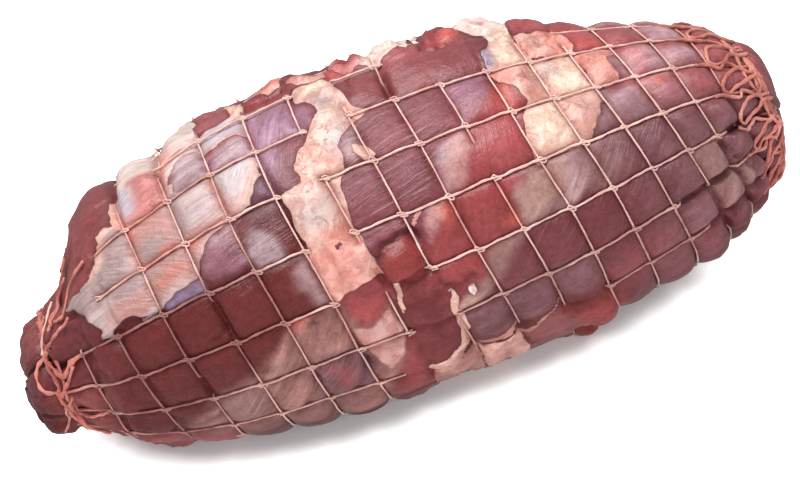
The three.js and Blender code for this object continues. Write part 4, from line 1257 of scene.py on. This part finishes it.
def cord_state(along, hoop, strand):
    """How much a cord is lowered, how red it is and how wet, along one hoop or strand."""
    buried = stretch_cover(BURIED, along, hoop, strand)
    deep = stretch_cover(DEEP, along, hoop, strand)
    reddened = stretch_cover(REDDENED, along, hoop, strand)
    stain = np.maximum(end_stain(hoop), REDDENED_STAIN * reddened)
    wet = sample(CORD_WETNESS[..., None], hoop, strand)[..., 0] * (1 - end_stain(hoop))
    return BURIED_DROP * buried + DEEP_DROP * deep, stain, wet


def is_hidden(hoop, strand):
    at = np.array([float(hoop)]), np.array([float(strand)])
    return max(cord_state(HOOP, *at)[0][0], cord_state(STRAND, *at)[0][0]) > HIDDEN_DEPTH


def end_stain(hoop):
    """Cords are stained orange and red where they gather at the ends."""
    left = np.clip((LEFT_STAIN_END - hoop) / END_STAIN_FADE, 0, 1)
    right = np.clip((hoop - RIGHT_STAIN_START) / END_STAIN_FADE, 0, 1)
    return np.maximum(left, right)


def cord_wander(along, line):
    """Small sideways wander of a cord, in meshes."""
    places = np.stack([along, np.full(along.shape, LINE_SPACING * line), np.zeros(along.shape)], -1)
    return sum(share * noise(places, size, seed) for share, size, seed in CORD_WANDERS)


def make_strands():
    cords = CordBuilder()
    hoop = np.linspace(0, LAST_HOOP, LAST_HOOP * STRAND_SAMPLES + 1)
    to_knot = np.abs(hoop - np.round(hoop))
    for strand in range(STRANDS):
        place = strand + strand_step_offset(hoop) + cord_wander(hoop, strand)
        drop, stain, wet = cord_state(STRAND, hoop, np.full(hoop.shape, float(strand)))
        lift = STRAND_LIFT + KNOT_RISE * np.exp(-(to_knot / KNOT_REACH) ** 2) - drop
        points, normals = on_meat(np.stack([hoop, place, lift], -1))
        thicker = END_THICKENING * end_stain(hoop) + CORD_CHANGE * noise(points, *STRAND_UNEVEN)
        cords.sweep(points, normals, STRAND_CORD * (1 + thicker), stain, wet)
    return cords.make("net_strands")


def make_hoops():
    cords = CordBuilder()
    strand = np.arange(STRANDS * HOOP_SAMPLES) / HOOP_SAMPLES
    waves = strand * 2 * np.pi * HOOP_WAVES / STRANDS
    for hoop in range(1, LAST_HOOP):
        wander = HOOP_STEADINESS * cord_wander(strand, FIRST_HOOP_LINE + hoop)
        wander = wander + HOOP_WAVE * np.sin(waves + hoop)
        drop, stain, wet = cord_state(HOOP, np.full(strand.shape, float(hoop)), strand)
        points, normals = on_meat(np.stack([hoop + wander, strand, HOOP_LIFT - drop], -1))
        width = HOOP_CORD * (1 + CORD_CHANGE * noise(points, *HOOP_UNEVEN))
        cords.sweep(points, normals, width, stain, wet, closed=True, ply=0.06)
    return cords.make("net_hoops")


# A knot's loop as steps along and round, in meshes, and height above the meat
KNOT_LOOP = np.array([(-0.06, -0.03, 0.5), (-0.01, -0.045, 0.95), (0.05, -0.02, 0.9),
                      (0.10, 0.04, 0.5), (0.05, 0.055, 0.6), (-0.03, 0.03, 0.95)])
KNOT_JITTER = 0.02
KNOT_SAMPLES = 5
KNOT_SIDES = 6


def make_knots():
    cords = CordBuilder()
    for hoop in range(1, LAST_HOOP):
        for strand in range(STRANDS):
            loop = KNOT_LOOP.copy()
            loop[:, :2] += random.uniform(-KNOT_JITTER, KNOT_JITTER, (len(loop), 2))
            if is_hidden(hoop, strand):
                continue
            path = smooth_path(loop + [hoop, strand, 0], KNOT_SAMPLES)
            points, normals = on_meat(path)
            wet = sample(CORD_WETNESS[..., None], path[:, 0], path[:, 1])[..., 0]
            cords.sweep(points, normals, KNOT_CORD, end_stain(path[:, 0]), wet, sides=KNOT_SIDES)
    return cords.make("net_knots")


# Loose cords of the gathered left end: radius, tint, height above the meat, points as (hoop, strand)
LEFT_CORDS = [
    (0.55, 0.15, 1.6, [(0.8, 1.2), (0.55, 1.7), (0.3, 2.3), (0.12, 2.9), (0.02, 3.2)]),
    (0.7, 1.0, 1.0, [(1.7, 0.9), (1.3, 1.15), (0.95, 1.5), (0.65, 2.1), (0.6, 2.5)]),
    (0.6, 0.9, 0.9, [(1.5, 1.25), (1.1, 1.5), (0.8, 1.95), (0.45, 2.6)]),
    (0.6, 0.9, 0.8, [(2.1, 1.95), (1.7, 2.1), (1.35, 2.35), (1.1, 2.6), (0.85, 2.55), (0.7, 2.4)]),
    (0.9, 1.0, 0.9, [(0.95, 4), (0.6, 4.15), (0.4, 4.4), (0.25, 4.3), (0.15, 3.95), (0.05, 3.6)]),
    (0.6, 0.9, 0.9, [(0.15, 3.1), (0.45, 3.05), (0.75, 2.9), (1.0, 2.95), (1.2, 2.85)]),
    (0.8, 1.0, 1.1, [(0.7, 4.2), (0.5, 4.55), (0.3, 4.8), (0.15, 5.1)]),
    (0.7, 0.9, 0.8, [(0.2, 3.2), (-0.25, 3.5), (-0.42, 4.1), (-0.3, 4.7), (0.05, 5.0)]),
    (0.75, 1.0, 1.0, [(0.4, 5.2), (0.2, 5.6), (0.15, 6.2), (0.35, 6.8), (0.7, 7.1)]),
    (0.6, 0.9, 0.8, [(0.9, 6.0), (0.5, 6.2), (0.2, 6.1), (0.0, 5.7)]),
    (0.5, 0.7, 0.7, [(0.1, 5.6), (-0.1, 6.1), (-0.15, 6.6), (-0.35, 7.0)]),
]
FAR_SIDE = 9
LOOSE_SAMPLES = 9
LOOSE_SWAY = 0.4
LOOSE_TURN = 2.3
LOOSE_LEAST = 0.85
LOOSE_CHANGE = 0.4
LOOSE_UNEVEN = (2.4, 93)
LOOSE_PLY = 0.2

# Bunched cords round the ends of the net: hoop, wander, height, radius, tint, seed
LEFT_RINGS = [(0.06, 0.12, 0.7, 0.85, 1.0, 0), (0.2, 0.16, 0.6, 0.6, 0.9, 3)]
RIGHT_RINGS = [(17.4, 0.1, 0.6, 0.7, 0.9, 5), (17.25, 0.1, 0.8, 0.7, 0.9, 6), (17.1, 0.1, 0.7, 0.55, 0.9, 7),
               (16.85, 0.2, 1.3, 0.6, 0.9, 8)]
RING_SAMPLES = 16
RING_WAVES = (3, 5, 8, 13)
RING_PHASE = 1.7
RING_RISE = 0.35
RING_RISES = 7


def ring_cord(cords, hoop, wander, lift, radius, tint, seed):
    strand = np.arange(STRANDS * RING_SAMPLES) / RING_SAMPLES
    turns = strand * 2 * np.pi / STRANDS
    shift = sum(np.sin(k * turns + seed * k * RING_PHASE) / k for k in RING_WAVES)
    rise = RING_RISE * np.sin(RING_RISES * turns + seed)
    points, normals = on_meat(np.stack([hoop + wander * shift, strand, lift + rise], -1))
    cords.sweep(points, normals, radius, tint, closed=True, ply=LOOSE_PLY)


def loose_cord(cords, points, radius, tint, lift):
    sway = LOOSE_SWAY * np.sin(LOOSE_TURN * np.arange(len(points)))
    places, normals = draped(smooth_path(np.column_stack([points, lift + sway]), LOOSE_SAMPLES))
    uneven = LOOSE_LEAST + LOOSE_CHANGE * noise(places, *LOOSE_UNEVEN)
    cords.sweep(places, normals, radius * uneven, tint, ply=LOOSE_PLY)


def left_gather(cords):
    for ring in LEFT_RINGS:
        ring_cord(cords, *ring)
    for radius, tint, lift, points in LEFT_CORDS:
        for shift in (0, FAR_SIDE):
            loose_cord(cords, np.add(points, (0, shift)), radius, tint, lift)


# Loops of loose cord that repeat round the right end: hoop, strand, height above the meat
RIGHT_LOOP = np.array([(17.3, -0.1, 0.6), (16.95, 0.1, 0.8), (16.55, 0.3, 0.9), (16.15, 0.55, 0.9),
                       (15.95, 0.85, 0.8), (16.05, 1.0, 0.8), (16.35, 0.9, 0.9), (16.65, 0.65, 1.0),
                       (17.0, 0.5, 1.0), (17.35, 0.42, 0.7)])
RIGHT_HOOK = np.array([(15.6, 0.04, 0.6), (15.9, 0.12, 0.8), (16.2, 0.14, 0.9), (16.5, 0.0, 0.9),
                       (16.85, 0.2, 1.0), (17.3, 0.1, 0.7)])
RIGHT_LOOSE = ((RIGHT_LOOP, 0.62), (RIGHT_HOOK, 0.6))
RIGHT_SAMPLES = 7
RIGHT_JITTER = 0.09
RIGHT_TINT = 0.75


def right_gather(cords):
    for ring in RIGHT_RINGS:
        ring_cord(cords, *ring)
    for strand in range(STRANDS):
        for shape, radius in RIGHT_LOOSE:
            path = shape + [0, strand, 0]
            path[:, :2] += random.uniform(-RIGHT_JITTER, RIGHT_JITTER, (len(path), 2))
            places, normals = draped(smooth_path(path, RIGHT_SAMPLES))
            tint = RIGHT_TINT + (1 - RIGHT_TINT) * random.uniform()
            cords.sweep(places, normals, radius, tint, ply=LOOSE_PLY)


def make_gathers():
    cords = CordBuilder()
    left_gather(cords)
    right_gather(cords)
    return cords.make("net_gathers")


# Finish of the surfaces

class Nodes:
    """Short way to build a material's node tree."""

    def __init__(self, name):
        self.material = bpy.data.materials.new(name)
        self.material.use_nodes = True
        self.tree = self.material.node_tree
        self.shader = self.tree.nodes["Principled BSDF"]

    def plug(self, value, socket):
        if isinstance(value, bpy.types.NodeSocket):
            self.tree.links.new(value, socket)
        else:
            socket.default_value = value

    def attribute(self, name, output="Color"):
        node = self.tree.nodes.new("ShaderNodeAttribute")
        node.attribute_name = name
        return node.outputs[output]

    def math(self, operation, first, second=0.0):
        node = self.tree.nodes.new("ShaderNodeMath")
        node.operation = operation
        self.plug(first, node.inputs[0])
        self.plug(second, node.inputs[1])
        return node.outputs[0]

    def total(self, *weighted):
        """Sum of values, each with its weight."""
        result = 0.0
        for value, weight in weighted:
            result = self.math("ADD", self.math("MULTIPLY", value, weight), result)
        return result

    def ramp(self, value, low, high, to_low=0.0, to_high=1.0):
        node = self.tree.nodes.new("ShaderNodeMapRange")
        node.interpolation_type = "SMOOTHSTEP"
        self.plug(value, node.inputs["Value"])
        for name, number in (("From Min", low), ("From Max", high), ("To Min", to_low), ("To Max", to_high)):
            self.plug(number, node.inputs[name])
        return node.outputs["Result"]

    def mix(self, factor, first, second, blend_type="MIX"):
        node = self.tree.nodes.new("ShaderNodeMix")
        node.data_type = "RGBA"
        node.blend_type = blend_type
        self.plug(factor, node.inputs["Factor"])
        self.plug(first, node.inputs[6])
        self.plug(second, node.inputs[7])
        return node.outputs[2]

    def times(self, colour, factors):
        return self.mix(1.0, colour, (*factors, 1), "MULTIPLY")

    def product(self, *values):
        result = values[0]
        for value in values[1:]:
            result = self.math("MULTIPLY", result, value)
        return result

    def noise(self, vector, scale=1.0, detail=4.0, roughness=0.55, distortion=0.0):
        node = self.tree.nodes.new("ShaderNodeTexNoise")
        self.plug(vector, node.inputs["Vector"])
        node.inputs["Scale"].default_value = scale
        node.inputs["Detail"].default_value = detail
        node.inputs["Roughness"].default_value = roughness
        node.inputs["Distortion"].default_value = distortion
        return node.outputs["Fac"]

    def scaled(self, vector, factors):
        node = self.tree.nodes.new("ShaderNodeVectorMath")
        node.operation = "MULTIPLY"
        self.plug(vector, node.inputs[0])
        node.inputs[1].default_value = factors
        return node.outputs[0]

    def parts(self, vector):
        node = self.tree.nodes.new("ShaderNodeSeparateXYZ")
        self.plug(vector, node.inputs[0])
        return node.outputs

    def position(self):
        return self.tree.nodes.new("ShaderNodeTexCoord").outputs["Object"]

    def bump(self, height, distance, strength=1.0):
        node = self.tree.nodes.new("ShaderNodeBump")
        node.inputs["Strength"].default_value = strength
        node.inputs["Distance"].default_value = distance
        self.plug(height, node.inputs["Height"])
        return node.outputs["Normal"]

    def set(self, **values):
        for name, value in values.items():
            self.plug(value, self.shader.inputs[name.replace("_", " ")])


# How far the noise is drawn out along the fibres: scale along them, across them and through them
FIBRE_SCALE = (0.045, 0.9, 0.0)
THIN_FIBRE_SCALE = (0.09, 2.4, 0.0)
WISP_SCALE = (0.06, 0.36, 0.0)

# Darkest and lightest shade of each tint, as shares of red, green and blue
FLESH_SHADES = ((0.84, 0.77, 0.77), (1.16, 1.21, 1.21))
FILM_SHADES = ((0.62, 0.46, 0.50), (1.8, 1.95, 1.95))
FAT_SHADES = ((0.84, 0.68, 0.66), (1.12, 1.17, 1.17))
SHEET_SHADES = ((0.78, 0.70, 0.71), (1.10, 1.12, 1.12))
# Painted shade: darker colour in the creases of the fat and on the lean just outside the edge of the fat
CREASE_SHADE = (0.80, 0.55, 0.50)
RIM_SHADE = (0.62, 0.42, 0.42)
THREAD_COLOUR = (0.44, 0.29, 0.29, 1)
THREAD_STRENGTH = 0.36
WISP_STRENGTH = 0.45
CREASE_STRENGTH = 0.45
FAT_PALENESS = 0.6


def shades(n, pattern, tint, dark, light):
    """A tint that follows a pattern from its dark shade to its light one."""
    return n.mix(pattern, n.times(tint, dark), n.times(tint, light))


def flesh_look(n, grain, film, threads, mottle, speck, wisp):
    """Colour and height of lean meat, with pale threads along its fibres and wisps where film lies on it."""
    tint = n.attribute("flesh_tint")
    clear = n.parts(grain)[2]
    fibre = n.noise(n.scaled(grain, FIBRE_SCALE), detail=4.0, roughness=0.6)
    thin_fibre = n.noise(n.scaled(grain, THIN_FIBRE_SCALE), detail=3.0, roughness=0.55)
    centred = n.math("SUBTRACT", n.total((fibre, 0.6), (thin_fibre, 0.4)), 0.5)
    streak = n.product(centred, n.product(clear, n.math("ADD", 0.25, threads)))
    pattern = n.ramp(n.total((streak, 1.0), (mottle, 0.6), (speck, 0.4)), low=0.34, high=0.66)
    colour = shades(n, pattern, tint, *FLESH_SHADES)
    colour = n.mix(n.product(n.ramp(streak, low=0.03, high=0.18), THREAD_STRENGTH), colour, THREAD_COLOUR)
    filmy = n.product(film, clear, WISP_STRENGTH)
    thin, thick = (n.times(tint, shade) for shade in FILM_SHADES)
    colour = n.mix(n.product(n.ramp(wisp, low=0.5, high=0.7), filmy), colour, thick)
    gaps = n.ramp(wisp, low=0.34, high=0.48, to_low=1.0, to_high=0.0)
    colour = n.mix(n.product(gaps, filmy), colour, thin)
    height = n.total((streak, 1.6), (speck, 0.35), (mottle, 0.6), (n.product(wisp, filmy), 1.2))
    return colour, height


def fat_look(n, place, grain, speck, wisp):
    """Colour and height of fat, crumpled where it is loose and finely wrinkled where it is a sheet, with
    painted light on the rise of its folds and painted shade in their creases.
    """
    tint = n.attribute("fat_tint")
    loose = n.attribute("fat_tint", "Alpha")
    sheet = n.math("SUBTRACT", 1.0, loose)
    fold = n.noise(place, scale=210.0, detail=5.0, roughness=0.58, distortion=0.5)
    broken = n.ramp(n.noise(place, scale=90.0, detail=2.0), low=0.5, high=0.62)
    from_line = n.math("ABSOLUTE", n.math("SUBTRACT", fold, 0.5))
    crease = n.product(n.ramp(from_line, low=0.0, high=0.02, to_low=1.0, to_high=0.0), broken, loose)
    # Painted light and shade: loose fat is lighter where its folds rise and darker where they sink
    lit = n.math("SUBTRACT", n.ramp(n.total((fold, 0.8), (speck, 0.2)), low=0.38, high=0.62), 0.5)
    colour = shades(n, n.math("ADD", n.product(lit, loose), FAT_PALENESS), tint, *FAT_SHADES)
    wrinkled = shades(n, n.ramp(wisp, low=0.36, high=0.64), tint, *SHEET_SHADES)
    colour = n.mix(n.product(sheet, n.parts(grain)[2]), colour, wrinkled)
    # Painted shade: dark lines in the creases of the folds
    colour = n.mix(n.product(crease, CREASE_STRENGTH), colour, n.times(tint, CREASE_SHADE))
    return colour, n.total((fold, 2.2), (crease, -0.4), (n.product(wisp, sheet), 1.8))


def meat_material():
    n = Nodes("raw_meat")
    place = n.position()
    grain = n.attribute("grain", "Vector")
    fat_cover, film, threads = n.parts(n.attribute("cover", "Vector"))
    mottle = n.noise(place, scale=420.0, detail=4.0, roughness=0.6)
    speck = n.noise(place, scale=1100.0, detail=3.0, roughness=0.6)
    wisp = n.noise(n.scaled(grain, WISP_SCALE), detail=5.0, roughness=0.62, distortion=1.5)
    flesh_colour, flesh_height = flesh_look(n, grain, film, threads, mottle, speck, wisp)
    fat_colour, fat_height = fat_look(n, place, grain, speck, wisp)
    frayed = n.math("ADD", fat_cover, n.total((mottle, 0.16), (0.5, -0.16)))
    fat = n.ramp(frayed, low=0.44, high=0.56)
    # Painted shadow: the lean is darker just outside the edge of the fat
    rim = n.ramp(frayed, low=0.12, high=0.46, to_low=0.0, to_high=0.45)
    flesh_colour = n.mix(rim, flesh_colour, n.times(n.attribute("flesh_tint"), RIM_SHADE))
    normal = n.bump(n.math("ADD", flesh_height, n.product(fat_height, fat)), distance=0.0006, strength=0.8)
    roughness = n.math("ADD", 0.26, n.product(mottle, 0.26))
    n.set(Base_Color=n.mix(fat, flesh_colour, fat_colour), Roughness=roughness)
    n.set(Normal=normal, Coat_Normal=normal)
    n.set(Subsurface_Weight=0.08, Subsurface_Radius=(1.0, 0.38, 0.25), Subsurface_Scale=0.0012)
    n.set(Coat_Weight=0.42, Coat_Roughness=0.13, IOR=1.4, Specular_IOR_Level=0.25)
    return n.material


# Darkest and lightest colour of a clean cord, a stained one and a soaked one, and the painted shade in the
# gaps of its twist
CLEAN_CORD = ((0.56, 0.31, 0.27, 1), (0.67, 0.45, 0.40, 1))
STAINED_CORD = ((0.26, 0.045, 0.035, 1), (0.50, 0.15, 0.11, 1))
SOAKED_CORD = ((0.19, 0.065, 0.06, 1), (0.28, 0.11, 0.10, 1))
TWIST_GAP = (0.38, 0.16, 0.12, 1)


def cord_material():
    n = Nodes("net_cord")
    turn, stain, wet = n.parts(n.attribute("cord", "Vector"))
    place = n.position()
    twist = n.math("SINE", turn)
    fibre = n.noise(place, scale=2600.0, detail=3.0)
    patchy = n.ramp(n.noise(place, scale=110.0, detail=3.0), low=0.35, high=0.65)
    clean, stained, soaked = (n.mix(patchy, *look) for look in (CLEAN_CORD, STAINED_CORD, SOAKED_CORD))
    colour = n.mix(wet, n.mix(stain, clean, stained), soaked)
    # Painted shade: the cord is darker in the gaps of its twist
    colour = n.mix(n.ramp(twist, low=-1.0, high=0.2, to_low=0.16, to_high=0.0), colour, TWIST_GAP)
    height = n.total((twist, 0.5), (fibre, 0.8))
    n.set(Base_Color=colour, Roughness=0.55, Normal=n.bump(height, distance=0.0002, strength=0.5))
    n.set(Subsurface_Weight=0.1, Subsurface_Radius=(1.0, 0.5, 0.35), Subsurface_Scale=0.001)
    n.set(Sheen_Weight=0.15, Sheen_Roughness=0.4)
    return n.material


FLOOR_COLOURS = ((0.95, 0.95, 0.95, 1), (0.97, 0.97, 0.97, 1))
FLOOR_GLOW = 0.8
SHADOW_REACH = 0.014


def floor_material():
    """White paper that glows except right beside the meat, so that only a narrow shadow stays."""
    n = Nodes("pale_floor")
    grain = n.noise(n.position(), scale=40.0, detail=2.0)
    openness = n.tree.nodes.new("ShaderNodeAmbientOcclusion")
    openness.inputs["Distance"].default_value = SHADOW_REACH
    glow = n.ramp(openness.outputs["AO"], low=0.3, high=0.75, to_high=FLOOR_GLOW)
    n.set(Base_Color=n.mix(grain, *FLOOR_COLOURS), Roughness=0.7)
    n.set(Emission_Color=(1, 1, 1, 1), Emission_Strength=glow)
    return n.material


# Stage

FLOOR_HALF = 2500.0
WORLD_LIGHT = 0.3


def make_floor():
    corners = [(x * FLOOR_HALF, y * FLOOR_HALF, 0) for x, y in ((-1, -1), (1, -1), (1, 1), (-1, 1))]
    floor = make_mesh("floor", corners, [(0, 1, 2, 3)], smooth=False)
    floor.data.materials.append(floor_material())
    floor.visible_glossy = False


def make_light(name, place, target, size, power, mirrored=True):
    """A soft box; one that is not mirrored lights the meat without veiling it with its reflection."""
    data = bpy.data.lights.new(name, "AREA")
    data.shape = "RECTANGLE"
    data.size, data.size_y = size
    data.energy = power
    light = bpy.data.objects.new(name, data)
    light.location = place
    light.rotation_euler = (Vector(target) - Vector(place)).to_track_quat("-Z", "Y").to_euler()
    light.visible_glossy = mirrored
    bpy.context.scene.collection.objects.link(light)


def make_lights():
    make_light("key", place=(-0.10, 0.12, 1.00), target=(0, 0, 0.05), size=(0.9, 0.8), power=17.0)
    make_light("front", place=(0.10, -1.00, 0.55), target=(0, 0, 0.03), size=(1.4, 0.7), power=8.5,
               mirrored=False)
    world = bpy.data.worlds.new("studio")
    world.use_nodes = True
    background = world.node_tree.nodes["Background"]
    background.inputs["Color"].default_value = (1, 1, 1, 1)
    background.inputs["Strength"].default_value = WORLD_LIGHT
    bpy.context.scene.world = world


# Camera: looking down on the roll from the front, with the picture turned a little
CAMERA_HEIGHT_ANGLE = 40.0
CAMERA_SIDE_ANGLE = -1.8
CAMERA_ROLL = 18.5
CAMERA_DISTANCE = 0.708
CAMERA_TARGET = (0.001, -0.0056, 0.0453)
CAMERA_LENS = 91.1
SENSOR_WIDTH = 36.0


def make_camera():
    lift, side, roll = (math.radians(v) for v in (CAMERA_HEIGHT_ANGLE, CAMERA_SIDE_ANGLE, CAMERA_ROLL))
    forward = Vector((math.sin(side) * math.cos(lift), math.cos(side) * math.cos(lift), -math.sin(lift)))
    level = Vector((math.cos(side), -math.sin(side), 0))
    above = level.cross(forward)
    across = level * math.cos(roll) - above * math.sin(roll)
    up = level * math.sin(roll) + above * math.cos(roll)
    place = Vector(CAMERA_TARGET) - forward * CAMERA_DISTANCE
    data = bpy.data.cameras.new("camera")
    data.lens = CAMERA_LENS
    data.sensor_width = SENSOR_WIDTH
    camera = bpy.data.objects.new("camera", data)
    camera.matrix_world = Matrix.Translation(place) @ Matrix((across, up, -forward)).transposed().to_4x4()
    bpy.context.scene.collection.objects.link(camera)
    bpy.context.scene.camera = camera


# Assembly

def dress(piece, material, node):
    piece.data.materials.append(material)
    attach(piece, "root")
    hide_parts(node)


make_camera()
make_lights()
make_floor()
dress(make_meat(), meat_material(), "meat_roll")
cord_finish = cord_material()
for make_part in (make_strands, make_hoops, make_knots, make_gathers):
    dress(make_part(), cord_finish, "net")

bpy.context.scene.view_settings.view_transform = "Standard"
